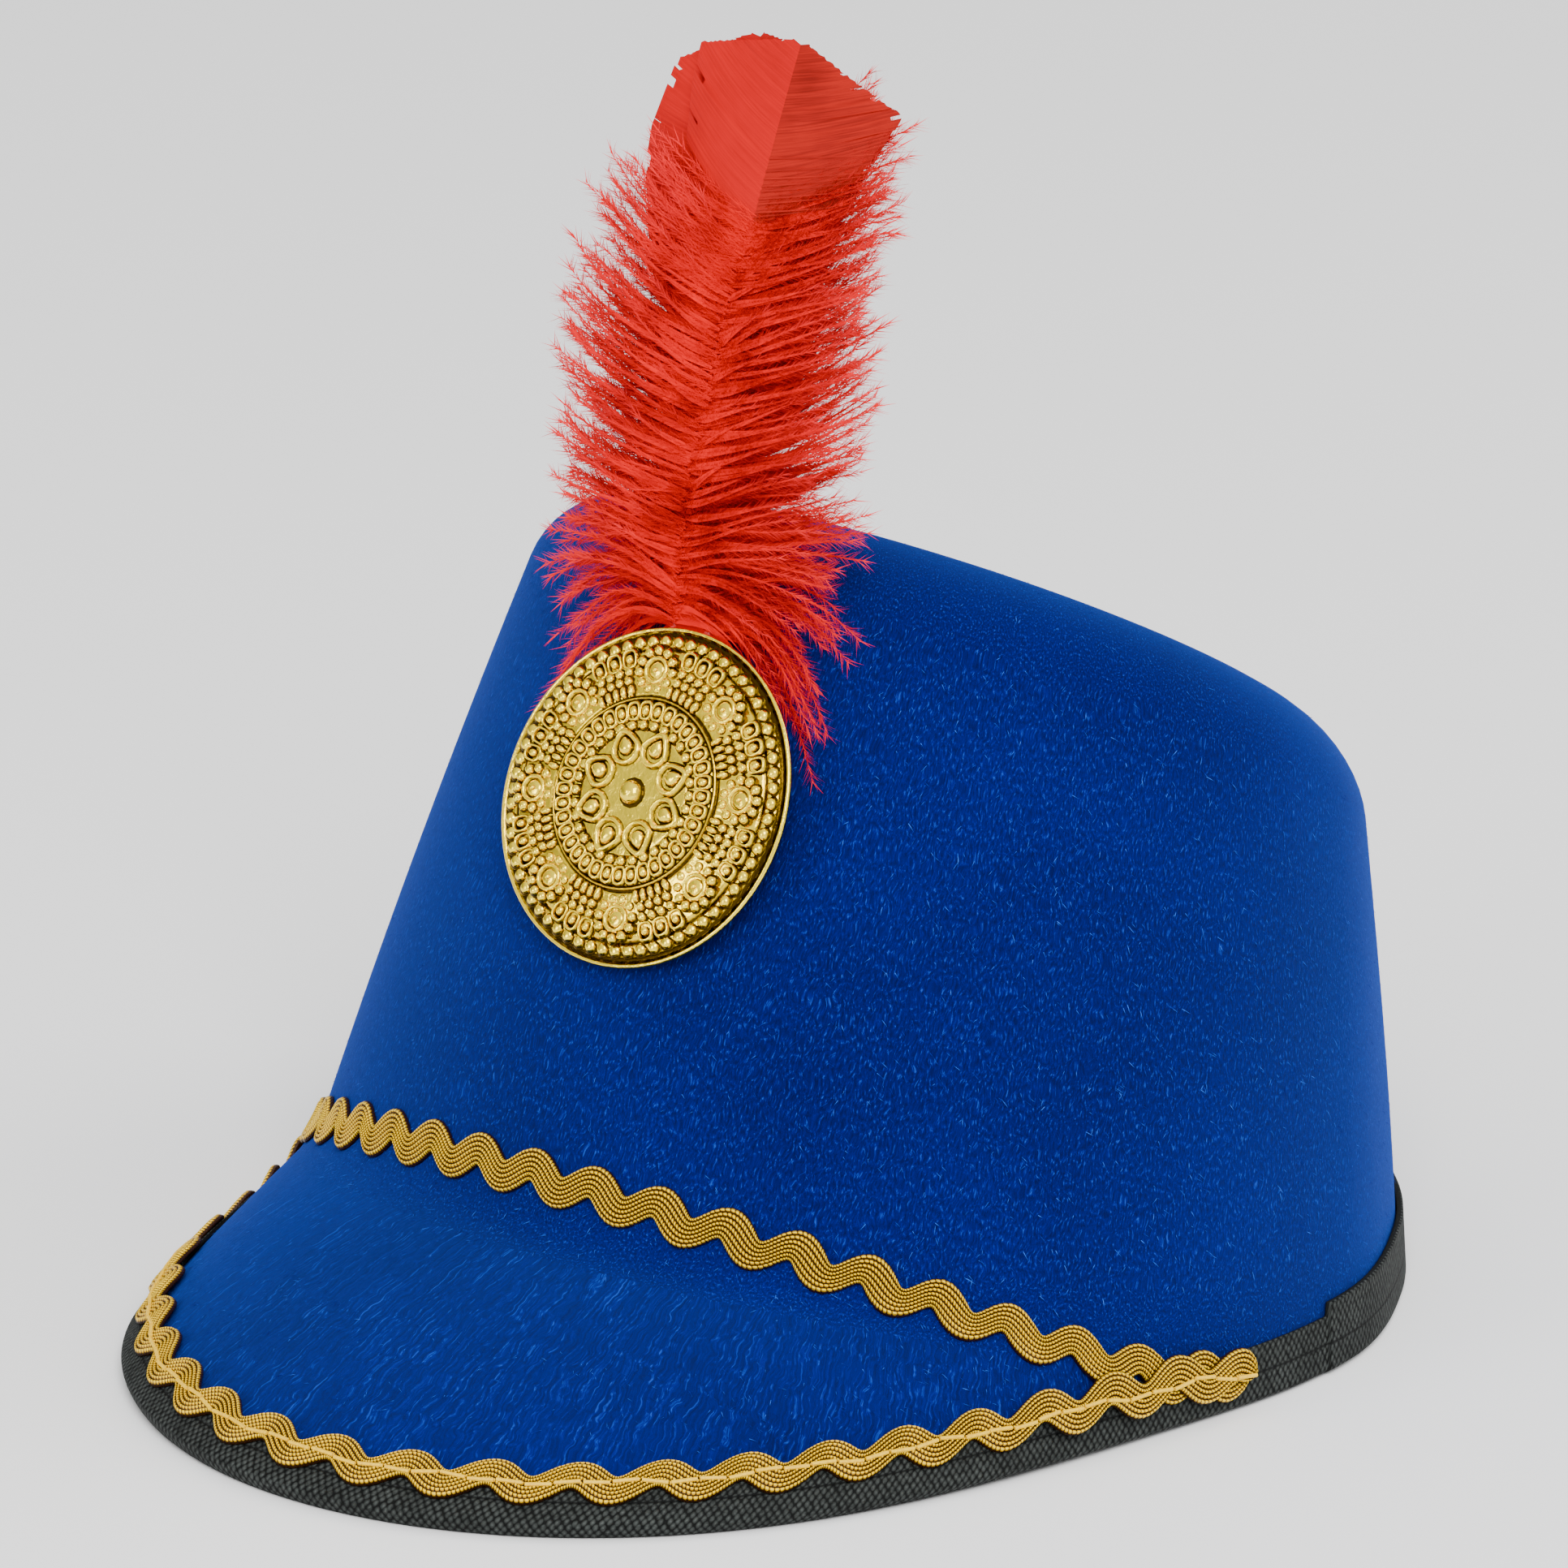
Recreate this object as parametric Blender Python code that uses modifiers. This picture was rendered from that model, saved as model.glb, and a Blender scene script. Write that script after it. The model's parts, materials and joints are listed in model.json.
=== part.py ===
"""Majorette hat: a moulded felt crown and peak, bound at the rim, with gold braid, a medallion and a plume.

Metres, +Z up. The front faces -Y, and the bound rim stands on Z = 0.
"""

import math
from bisect import bisect_left
from functools import lru_cache

import bmesh
import bpy
from mathutils import Matrix, Vector

# Felt shell, measured on its outer side. Angles run round the hat from its front.
RIM_HALF_WIDTH = 0.097
RIM_FRONT_RADIUS = 0.099
RIM_BACK_RADIUS = 0.091
FELT = 0.0018
TOP_HALF_WIDTH = 0.076
TOP_HALF_LENGTH = 0.061
TOP_SET_BACK = 0.0248
TOP_HEIGHT = 0.1066
TOP_SLOPE = math.radians(31.5)
TOP_DOME = 0.004
SHOULDER = 0.013
FRONT_BOW = 0.0048
BACK_BOW = 0.0037

# Peak, moulded in one piece with the crown.
PEAK_REACH = 0.051
PEAK_SPREAD = math.radians(84.5)
PEAK_TAPER = 2.66
PEAK_SWELL = 0.0026
CREASE_HEIGHT = 0.0275
CREASE_TAPER = 1.15
CREASE_RADIUS = 0.006

# Black tape folded over the rim, whose end laps over its start.
TAPE = 0.001
TAPE_HEIGHT = 0.0098
TAPE_PRESS = 0.00035
LAP = 0.0008
LAP_RISE = 0.0022
LAP_START = math.radians(111.0)
LAP_END = math.radians(136.0)
LAP_STEP = math.radians(0.4)

# Gold ric-rac: one row over the crease and one over the top of the tape.
BRAID_WIDTH = 0.0048
BRAID_THICK = 0.0012
BRAID_SWING = 0.0021
BRAID_WAVE = 0.0117
BRAID_FLARE = 0.6
UPPER_BRAID_HEIGHT = 0.0355
LOWER_BRAID_CLIMB = 0.0115
JOIN_HEIGHT = 0.0092
JOIN_ANGLE = math.radians(70.0)
BRAID_END = math.radians(79.0)
OVERLAP_ANGLES = (math.radians(50.0), math.radians(56.0))

# Stamped medallion on the front of the crown.
MEDALLION_RADIUS = 0.0286
MEDALLION_HEIGHT = 0.092
MEDALLION_TILT = math.radians(26.2)
MEDALLION_METAL = 0.0009
LIP_WIDTH = 0.0017
FIELD_RISE = 0.0022
FIELD_DOME = 0.0011
RELIEF = 0.0009
ROSETTES = 8
ROSETTE_RADIUS = 0.0025
PETALS = 8
PETAL_RADIUS = 0.0021
BORDER_BEADS = 28
INNER_BEADS = 16
BARS_BETWEEN = 2
STUD_RADIUS = 0.004

# Two dyed feathers whose quills run behind the medallion.
QUILL = 0.002
QUILL_START = 0.010
FEATHER_RISE = 0.0985
FEATHER_LEAN = math.radians(15.5)
FEATHER_PLATE = 0.0011
WEB_WIDTH = 0.021
LOCK_LENGTH = 0.033
LOCK_WIDTH = 0.0150
LOCK_THICK = 0.0030
LOCK_TIP = 0.22

GAP = 0.0003
ROUND_STEPS = 48
WAVE_STEPS = 6

BLUE = (0.006, 0.055, 0.42, 1.0)
BLACK = (0.018, 0.020, 0.020, 1.0)
BRAID_GOLD = (0.80, 0.47, 0.04, 1.0)
METAL_GOLD = (0.95, 0.70, 0.12, 1.0)
RED = (0.80, 0.004, 0.006, 1.0)
PLAIN = (0.55, 0.52, 0.45, 1.0)


def outward(angle):
    return Vector((math.sin(angle), -math.cos(angle), 0))


def smooth(share):
    share = min(max(share, 0.0), 1.0)
    return share * share * (3 - 2 * share)


def turned(angle):
    """The same angle between minus and plus a half turn."""
    return math.atan2(math.sin(angle), math.cos(angle))


def rim_oval(angle):
    """The head oval at the height of the rim, as it would be with no peak."""
    radius = RIM_FRONT_RADIUS if math.cos(angle) > 0 else RIM_BACK_RADIUS
    return Vector((RIM_HALF_WIDTH * math.sin(angle), -radius * math.cos(angle), 0))


def top_point(angle, inset=0.0):
    """A point of the sloping top's edge, or of the smaller oval that lies inset within it."""
    along = (TOP_HALF_LENGTH - inset) * math.cos(angle)
    side = (TOP_HALF_WIDTH - inset) * math.sin(angle)
    slope = Vector((0, -math.cos(TOP_SLOPE), math.sin(TOP_SLOPE)))
    return Vector((side, TOP_SET_BACK, TOP_HEIGHT)) + slope * along


def wall_point(angle, height):
    """The crown's wall: straight from rim to top at the sides, bowed out at front and back."""
    foot, head = rim_oval(angle), top_point(angle)
    share = height / head.z
    bow = (FRONT_BOW if math.cos(angle) > 0 else BACK_BOW) * math.cos(angle) ** 2
    return foot.lerp(head, share) + outward(angle) * bow * 4 * share * (1 - share)


def peak_share(angle):
    """1 on the peak's centre line, falling to 0 where it dies into the wall."""
    return math.cos(min(abs(turned(angle)) / PEAK_SPREAD, 1) * math.pi / 2)


def crease_height(angle):
    low = TAPE_HEIGHT + CREASE_RADIUS / 4
    return low + (CREASE_HEIGHT - low) * peak_share(angle) ** CREASE_TAPER


def tape_outline():
    """The tape's section round the felt's edge, as (along the normal, up the felt) pairs."""
    outer, inner = GAP + TAPE, -(FELT + 2 * GAP + TAPE)
    return (
        (outer, TAPE_HEIGHT),
        (outer, 0.0),
        (0.0, -outer),
        (inner + TAPE, -outer),
        (inner, 0.0),
        (inner, TAPE_HEIGHT),
        (inner + TAPE, TAPE_HEIGHT),
        (inner + TAPE, -GAP),
        (GAP, -GAP),
        (GAP, TAPE_HEIGHT),
    )


@lru_cache(maxsize=None)
def rim_axes(angle):
    """The felt's lower outer edge before it is raised, with its directions out of the felt and up it."""
    reach = PEAK_REACH * peak_share(angle) ** PEAK_TAPER
    foot = rim_oval(angle) + outward(angle) * reach
    run = wall_point(angle, crease_height(angle)) - foot
    across, rise = run.dot(outward(angle)), run.z
    swell = 4 * PEAK_SWELL * peak_share(angle) ** 2 / run.length
    up = (outward(angle) * (across + rise * swell) + Vector((0, 0, rise - across * swell))).normalized()
    normal = outward(angle) * up.z - Vector((0, 0, up.dot(outward(angle))))
    return foot, normal, up


@lru_cache(maxsize=None)
def rim_point(angle):
    """The felt's lower outer edge, raised so that the tape below it stands on Z = 0."""
    foot, normal, up = rim_axes(angle)
    lowest = min((normal * off + up * climb).z for off, climb in tape_outline())
    return foot + Vector((0, 0, -lowest - TAPE_PRESS))


def apex():
    rise = Vector((0, math.sin(TOP_SLOPE), math.cos(TOP_SLOPE))) * TOP_DOME
    return Vector((0, TOP_SET_BACK, TOP_HEIGHT)) + rise


@lru_cache(maxsize=None)
def felt_point(angle, row):
    """The felt's outer side. Row 0 to 1 is the peak, to 2 its crease, to 3 the wall, to 4 the shoulder, to 5 the top."""
    rim = rim_point(angle)
    crease = wall_point(angle, crease_height(angle))
    run = crease - rim
    if row <= 2:
        across = outward(angle)
        swell_way = (across * run.z - Vector((0, 0, 1)) * run.dot(across)).normalized()
        swell = PEAK_SWELL * peak_share(angle) ** 2
        turn = 1 - CREASE_RADIUS / run.length
        if row <= 1:
            share = row * turn
            return rim + run * share + swell_way * swell * 4 * share * (1 - share)
        start = rim + run * turn + swell_way * swell * 4 * turn * (1 - turn)
        end = wall_point(angle, crease.z + CREASE_RADIUS)
        share = row - 1
        return start.lerp(crease, share).lerp(crease.lerp(end, share), share)
    corner = top_point(angle)
    low, high = crease.z + CREASE_RADIUS, corner.z - SHOULDER
    if row <= 3:
        return wall_point(angle, low + (high - low) * (row - 2))
    inner = top_point(angle, SHOULDER)
    if row <= 4:
        bend = (row - 3) * math.pi / 2
        from_wall = (wall_point(angle, high) - corner) * (1 - math.sin(bend))
        return corner + from_wall + (inner - corner) * (1 - math.cos(bend))
    share = row - 4
    middle = inner.lerp(apex(), share)
    flat = Vector((0, TOP_SET_BACK, TOP_HEIGHT))
    dome = (apex() - flat) * (1 - (1 - share) ** 2 - share)
    return middle + dome


@lru_cache(maxsize=None)
def meridian(angle):
    """Points up the felt at one angle, with their distances from the rim."""
    points = [felt_point(angle, step / 12) for step in range(49)]
    climbs = [0.0]
    for before, after in zip(points, points[1:]):
        climbs.append(climbs[-1] + (after - before).length)
    return points, climbs


def at_climb(angle, climb):
    points, climbs = meridian(angle)
    place = min(max(bisect_left(climbs, climb), 1), len(climbs) - 1)
    share = (climb - climbs[place - 1]) / (climbs[place] - climbs[place - 1])
    return points[place - 1].lerp(points[place], share)


def climb_at_height(angle, height):
    points, climbs = meridian(angle)
    place = next(i for i, point in enumerate(points) if point.z > height)
    low, high = points[place - 1].z, points[place].z
    return climbs[place - 1] + (climbs[place] - climbs[place - 1]) * (height - low) / (high - low)


def on_felt(angle, climb, lift=0.0):
    """A point above the felt by lift, with the felt's normal and its direction up from the rim."""
    angle_step, climb_step = 0.01, 0.0006
    point = at_climb(angle, climb)
    up = at_climb(angle, climb + climb_step) - at_climb(angle, max(climb - climb_step, 0.0))
    round_hat = at_climb(angle + angle_step, climb) - at_climb(angle - angle_step, climb)
    normal = round_hat.cross(up).normalized()
    return point + normal * lift, normal, up.normalized()


def material(name, colour, roughness, metallic=0.0):
    made = bpy.data.materials.new(name)
    made.use_nodes = True
    shader = made.node_tree.nodes["Principled BSDF"]
    shader.inputs["Base Color"].default_value = colour
    shader.inputs["Roughness"].default_value = roughness
    shader.inputs["Metallic"].default_value = metallic
    return made


def add_object(name, mesh, finish, collection):
    made = bpy.data.objects.new(name, mesh)
    mesh.materials.append(finish)
    mesh.shade_smooth()
    mesh.set_sharp_from_angle(angle=math.radians(40))
    collection.objects.link(made)
    return made


def loft(name, sections, closed):
    """A solid through sections of equally many points, joined end to start or capped at both ends."""
    shape = bmesh.new()
    rings = [[shape.verts.new(point) for point in section] for section in sections]
    pairs = list(zip(rings, rings[1:]))
    if closed:
        pairs.append((rings[-1], rings[0]))
    for first, second in pairs:
        for i in range(len(first)):
            j = (i + 1) % len(first)
            shape.faces.new((first[i], first[j], second[j], second[i]))
    if not closed:
        shape.faces.new(rings[0])
        shape.faces.new(rings[-1])
    bmesh.ops.recalc_face_normals(shape, faces=shape.faces)
    mesh = bpy.data.meshes.new(name)
    shape.to_mesh(mesh)
    shape.free()
    return mesh


def round_angles():
    return [math.tau * step / ROUND_STEPS for step in range(ROUND_STEPS)]


def build_felt(finish, collection):
    """Crown and peak as one open surface, with Solidify for the felt's thickness."""
    rows = [0, 0.34, 0.67, 1, 1.33, 1.67, 2, 2.5, 3, 3.33, 3.67, 4, 4.5]
    shape = bmesh.new()
    rings = [[shape.verts.new(felt_point(angle, row)) for angle in round_angles()] for row in rows]
    for low, high in zip(rings, rings[1:]):
        for i in range(ROUND_STEPS):
            j = (i + 1) % ROUND_STEPS
            shape.faces.new((low[i], low[j], high[j], high[i]))
    middle = shape.verts.new(apex())
    for i in range(ROUND_STEPS):
        shape.faces.new((rings[-1][i], rings[-1][(i + 1) % ROUND_STEPS], middle))
    mesh = bpy.data.meshes.new("felt_crown_and_peak")
    shape.to_mesh(mesh)
    shape.free()
    felt = add_object("felt_crown_and_peak", mesh, finish, collection)
    wall = felt.modifiers.new("felt thickness", "SOLIDIFY")
    wall.thickness = FELT
    wall.offset = -1
    wall.use_even_offset = True
    return felt


def tape_section(angle, lapped):
    """The tape's section at one angle, pressed flat on Z = 0 and thicker outside where its end laps."""
    rim, normal, up = on_felt(angle, 0.0)
    section = []
    for number, (off, climb) in enumerate(tape_outline()):
        if lapped and number < 2:
            off += LAP
        if lapped and number in (0, len(tape_outline()) - 1):
            climb += LAP_RISE
        if climb > 0:
            section.append(on_felt(angle, climb, off)[0])
            continue
        point = rim + normal * off + up * climb
        point.z = max(point.z, 0.0)
        section.append(point)
    return section


def tape_between(angle, lapped):
    """A section between two of the felt's stations, so that the tape keeps to its facets."""
    step = math.tau / ROUND_STEPS
    before = math.floor(angle / step)
    sides = [tape_section(step * place, lapped) for place in (before, before + 1)]
    return [low.lerp(high, angle / step - before) for low, high in zip(*sides)]


def build_tape(finish, collection):
    """The tape as one closed ring, with a step up and down where its end laps over its start."""
    stations = [(angle, tape_section(angle, LAP_START < angle < LAP_END)) for angle in round_angles()]
    for angle, way in ((LAP_START, -1), (LAP_END, 1)):
        stations.append((angle + way * LAP_STEP, tape_between(angle, False)))
        stations.append((angle, tape_between(angle, True)))
    stations.sort(key=lambda station: station[0])
    sections = [section for _, section in stations]
    return add_object("rim_tape", loft("rim_tape", sections, True), finish, collection)


def upper_braid_climb(angle):
    share = math.cos(min(abs(angle) / JOIN_ANGLE, 1) * math.pi / 2)
    return climb_at_height(angle, JOIN_HEIGHT + (UPPER_BRAID_HEIGHT - JOIN_HEIGHT) * share)


def lower_braid_climb(angle):
    join = climb_at_height(angle, JOIN_HEIGHT)
    return join + (LOWER_BRAID_CLIMB - join) * (1 - smooth(abs(angle) / JOIN_ANGLE))


def upper_braid_lift(angle, climb):
    over_tape = 1 - smooth((climb - TAPE_HEIGHT - GAP * 3) / BRAID_WIDTH)
    return GAP + (TAPE + GAP) * over_tape


def lower_braid_lift(angle, climb):
    start, end = OVERLAP_ANGLES
    over_other_row = smooth((abs(angle) - start) / (end - start))
    return upper_braid_lift(angle, climb) + (BRAID_THICK + GAP) * over_other_row


def build_braid(name, climb_of, lift_of, finish, collection):
    """A flat woven strip that swings from side to side as it runs round the front of the hat."""
    steps = 320
    angles = [BRAID_END * (2 * step / steps - 1) for step in range(steps + 1)]
    line = [at_climb(angle, climb_of(angle)) for angle in angles]
    runs = [0.0]
    for before, after in zip(line, line[1:]):
        runs.append(runs[-1] + (after - before).length)
    waves = round(runs[-1] / BRAID_WAVE)
    swings = math.tau * waves / runs[-1]
    sections = []
    for number in range(waves * WAVE_STEPS + 1):
        run = runs[-1] * number / (waves * WAVE_STEPS)
        place = min(max(bisect_left(runs, run), 1), steps)
        share = (run - runs[place - 1]) / (runs[place] - runs[place - 1])
        angle = angles[place - 1] + (angles[place] - angles[place - 1]) * share
        per_metre = (angles[place] - angles[place - 1]) / (runs[place] - runs[place - 1])
        tilt = -BRAID_FLARE * BRAID_SWING * swings * math.cos(swings * run)
        across = Vector((tilt, 1)).normalized() * BRAID_WIDTH / 2
        under, over = [], []
        for side in (-1, 0, 1):
            at = angle + across.x * side * per_metre
            climb = climb_of(angle) + BRAID_SWING * math.sin(swings * run) + across.y * side
            lift = lift_of(angle, climb)
            under.append(on_felt(at, climb, lift)[0])
            over.append(on_felt(at, climb, lift + BRAID_THICK)[0])
        sections.append(under + over[::-1])
    return add_object(name, loft(name, sections, False), finish, collection)


@lru_cache(maxsize=None)
def medallion_axes():
    """Where the medallion's axis meets the felt, and its directions across, up the crown and outward."""
    point = at_climb(0.0, climb_at_height(0.0, MEDALLION_HEIGHT))
    up = Vector((0, math.sin(MEDALLION_TILT), math.cos(MEDALLION_TILT)))
    normal = Vector((0, -math.cos(MEDALLION_TILT), math.sin(MEDALLION_TILT)))
    return point, Vector((1, 0, 0)), up, normal


def on_medallion_axis(off):
    """A placing with Z along the medallion's axis and Y up the crown, off the felt by so much."""
    felt, side, up, normal = medallion_axes()
    turn = Matrix((side, up, normal)).transposed().to_4x4()
    return Matrix.Translation(felt + normal * off) @ turn


def stand_off():
    """From the felt to the medallion's lip: room for two layers of quill and plate."""
    return QUILL + 3 * GAP


def field_height(radius):
    """The top of the medallion's raised field above its lip's underside."""
    edge = MEDALLION_RADIUS - LIP_WIDTH
    return MEDALLION_METAL + FIELD_RISE + FIELD_DOME * (1 - (radius / edge) ** 2)


def plate_profile():
    """The stamped plate's half section, from its centre's face out to the lip and back underneath."""
    edge = MEDALLION_RADIUS - LIP_WIDTH
    bend = MEDALLION_METAL * 0.6
    face = [(edge * share, field_height(edge * share)) for share in (0.0, 0.45, 0.8, 0.97)]
    lip = [
        (edge + bend, MEDALLION_METAL),
        (MEDALLION_RADIUS, MEDALLION_METAL),
        (MEDALLION_RADIUS, 0.0),
        (edge - bend, 0.0),
    ]
    under = [(radius * 0.96, height - MEDALLION_METAL) for radius, height in reversed(face)]
    return face + lip + under


def add_boss(shape, radius, angle, size, height, sides, squash=1.0):
    """A low rounded boss on the medallion's field, longer along the radius when squash is under 1."""
    turn = Matrix.Rotation(angle, 4, "Z")
    place = Matrix.Translation((radius, 0, field_height(radius) - RELIEF / 2))
    stretch = Matrix.Diagonal((1, squash, 1, 1))
    bmesh.ops.create_cone(
        shape,
        cap_ends=True,
        segments=sides,
        radius1=size,
        radius2=size * 0.55,
        depth=height + RELIEF,
        matrix=turn @ place @ Matrix.Translation((0, 0, height / 2)) @ stretch,
    )


def build_medallion(finish, collection, helpers):
    mesh = bpy.data.meshes.new("medallion")
    profile = plate_profile()
    mesh.from_pydata([(r, 0, h) for r, h in profile], [(i, i + 1) for i in range(len(profile) - 1)], [])
    plate = add_object("medallion", mesh, finish, collection)
    spin = plate.modifiers.new("turned plate", "SCREW")
    spin.steps = spin.render_steps = 32
    spin.use_merge_vertices = True
    spin.merge_threshold = 1e-5
    plate.matrix_world = on_medallion_axis(stand_off())

    shape = bmesh.new()
    edge = MEDALLION_RADIUS - LIP_WIDTH
    rosette_at, petal_at = edge * 0.77, edge * 0.36
    add_boss(shape, 0.0, 0.0, PETAL_RADIUS, RELIEF, 8)
    for number in range(PETALS):
        add_boss(shape, petal_at, math.tau * (number + 0.5) / PETALS, PETAL_RADIUS, RELIEF * 0.7, 6, 0.8)
    for number in range(INNER_BEADS):
        add_boss(shape, edge * 0.54, math.tau * number / INNER_BEADS, edge * 0.045, RELIEF * 0.6, 4)
    for number in range(BORDER_BEADS):
        add_boss(shape, edge * 0.93, math.tau * number / BORDER_BEADS, edge * 0.05, RELIEF * 0.6, 4)
    for number in range(ROSETTES):
        middle = math.tau * number / ROSETTES
        add_boss(shape, rosette_at, middle, ROSETTE_RADIUS, RELIEF, 8)
        for bar in range(BARS_BETWEEN):
            share = (bar + 1) / (BARS_BETWEEN + 1)
            turn = middle + math.tau / ROSETTES * (0.22 + 0.56 * share)
            add_boss(shape, rosette_at, turn, edge * 0.085, RELIEF * 0.5, 4, 0.35)
    bosses_mesh = bpy.data.meshes.new("medallion_bosses")
    shape.to_mesh(bosses_mesh)
    shape.free()
    bosses = bpy.data.objects.new("medallion_bosses", bosses_mesh)
    bosses.matrix_world = plate.matrix_world
    bosses.hide_render = True
    bosses.display_type = "WIRE"
    helpers.objects.link(bosses)
    relief = plate.modifiers.new("relief", "BOOLEAN")
    relief.operation = "UNION"
    relief.object = bosses
    return plate


def build_stud(finish, collection):
    """The hidden stud that carries the medallion's middle off the felt."""
    low = 2 * GAP
    high = stand_off() + field_height(0.0) - MEDALLION_METAL - GAP
    shape = bmesh.new()
    bmesh.ops.create_cone(
        shape, cap_ends=True, segments=20, radius1=STUD_RADIUS, radius2=STUD_RADIUS, depth=high - low
    )
    mesh = bpy.data.meshes.new("medallion_stud")
    shape.to_mesh(mesh)
    shape.free()
    stud = add_object("medallion_stud", mesh, finish, collection)
    stud.matrix_world = on_medallion_axis((low + high) / 2)
    return stud


# Each feather: its quill's place across the crown, the drift of its tip, how far it stands in front, the
# side that its lowest locks lie on, the first of its upper locks, and how wide they and its web spread.
FEATHERS = {
    "feather_front": {
        "start": -0.0058,
        "drift": 0.0040,
        "layer": 0.0037,
        "low_side": -1,
        "first_upper": 3,
        "spread": 1.0,
    },
    "feather_back": {
        "start": 0.0012,
        "drift": -0.0115,
        "layer": 0.0,
        "low_side": 1,
        "first_upper": 4,
        "spread": 0.8,
    },
}

# The web of a feather up its quill, as shares of FEATHER_RISE and of WEB_WIDTH.
WEB = (
    {"rise": 0.08, "left": 0.08, "right": 0.08},
    {"rise": 0.14, "left": 0.40, "right": 0.36},
    {"rise": 0.22, "left": 1.02, "right": 0.92},
    {"rise": 0.38, "left": 1.20, "right": 1.05},
    {"rise": 0.56, "left": 1.08, "right": 0.98},
    {"rise": 0.72, "left": 1.02, "right": 0.98},
    {"rise": 0.86, "left": 0.98, "right": 1.04},
    {"rise": 0.93, "left": 0.92, "right": 0.90},
    {"rise": 0.995, "left": 0.80, "right": 0.06},
)

# Locks of down: where they leave the quill, and where their tips reach, as shares of LOCK_LENGTH.
LOCKS = (
    {"rise": 0.035, "left": 0.84, "right": 1.02, "sweep": -0.56},
    {"rise": 0.070, "left": 0.98, "right": 1.08, "sweep": -0.10},
    {"rise": 0.130, "left": 0.90, "right": 0.95, "sweep": 0.16},
    {"rise": 0.210, "left": 0.96, "right": 0.98, "sweep": 0.32},
    {"rise": 0.310, "left": 0.94, "right": 0.90, "sweep": 0.46},
    {"rise": 0.430, "left": 0.82, "right": 0.84, "sweep": 0.54},
    {"rise": 0.560, "left": 0.70, "right": 0.78, "sweep": 0.58},
)
LOW_LOCKS = 3


def quill_point(feather, share):
    """The quill's centre line; share 0 is at the medallion's top edge and 1 is the feather's tip."""
    felt, side, up, normal = medallion_axes()
    leave = felt + side * feather["start"] + up * MEDALLION_RADIUS + normal * (GAP + QUILL / 2)
    if share <= 0:
        return leave + up * share * FEATHER_RISE
    upright = Vector((0, math.sin(FEATHER_LEAN), math.cos(FEATHER_LEAN)))
    bent = up.lerp(upright, smooth(share * 4)).normalized()
    drift = side * feather["drift"] * share * share
    forward = upright.cross(side).normalized() * -1
    return leave + bent * FEATHER_RISE * share + drift + forward * feather["layer"] * smooth(share * 5)


def quill_axes(feather, share):
    """Directions across the feather, up it and out of its front face."""
    side = Vector((1, 0, 0))
    up = (quill_point(feather, share + 0.01) - quill_point(feather, share - 0.01)).normalized()
    face = side.cross(up).normalized()
    if face.y > 0:
        face.negate()
    return (side - up * side.dot(up)).normalized(), up, face


def vane_sections(feather):
    """Sections up the feather: a round quill that widens into a thin web on both sides."""
    stations = [{"rise": rise, "left": 0.0, "right": 0.0} for rise in (-QUILL_START / FEATHER_RISE, 0.0, 0.04)]
    sections = []
    for station in stations + list(WEB):
        share = station["rise"]
        middle = quill_point(feather, share)
        side, _, face = quill_axes(feather, share)
        radius = QUILL / 2 * (1 - 0.6 * max(share, 0))
        edge = min(FEATHER_PLATE / 2, radius)
        left = max(station["left"] * WEB_WIDTH * feather["spread"], radius)
        right = max(station["right"] * WEB_WIDTH * feather["spread"], radius)
        edge_left = edge if left > radius * 1.5 else 0.4 * radius
        edge_right = edge if right > radius * 1.5 else 0.4 * radius
        ring = (
            (-left, -edge_left / 2),
            (-radius * 0.7, -radius * 0.7),
            (0, -radius),
            (radius * 0.7, -radius * 0.7),
            (right, -edge_right / 2),
            (right, edge_right / 2),
            (radius * 0.7, radius * 0.7),
            (0, radius),
            (-radius * 0.7, radius * 0.7),
            (-left, edge_left / 2),
        )
        sections.append([middle + side * x + face * y for x, y in ring])
    return sections


def add_strip(shape, stations):
    """A closed strip of diamond section through (centre, half width, half thickness) stations."""
    rings = []
    for centre, wide, thick in stations:
        rings.append([shape.verts.new(centre + part) for part in (wide, thick, -wide, -thick)])
    faces = [shape.faces.new(rings[0]), shape.faces.new(rings[-1])]
    for first, second in zip(rings, rings[1:]):
        for i in range(4):
            j = (i + 1) % 4
            faces.append(shape.faces.new((first[i], first[j], second[j], second[i])))
    bmesh.ops.recalc_face_normals(shape, faces=faces)


def add_lock(shape, feather, lock, way, low):
    """One lock of down, rooted in the quill and tapering to its tip; low locks bow away from the felt."""
    root = quill_point(feather, lock["rise"])
    side, up, face = quill_axes(feather, lock["rise"])
    reach = way * LOCK_LENGTH * (lock["right"] if way > 0 else lock["left"])
    reach *= 1.0 if low else feather["spread"]
    sweep = LOCK_LENGTH * lock["sweep"]
    puff = LOCK_THICK * 0.35 if low else 0.0
    bow = side * reach * 0.62 + up * (max(sweep, 0) * 0.35 + LOCK_WIDTH * 0.2) + face * puff
    tip = side * reach + up * sweep + face * puff * 0.6
    stations = []
    for share in (0.0, 0.3, 0.62, 0.85, 1.0):
        centre = root + bow * 2 * share * (1 - share) + tip * share * share
        ahead = (bow * (1 - share) + (tip - bow) * share).normalized()
        taper = 1 - (1 - LOCK_TIP) * share**2.2
        wide = face.cross(ahead).normalized() * LOCK_WIDTH / 2 * taper * (0.6 + 0.4 * smooth(share * 3))
        thick = ahead.cross(wide).normalized() * LOCK_THICK / 2 * taper * (0.5 + 0.5 * smooth(share * 3))
        stations.append((centre, wide, thick))
    add_strip(shape, stations)


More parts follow.
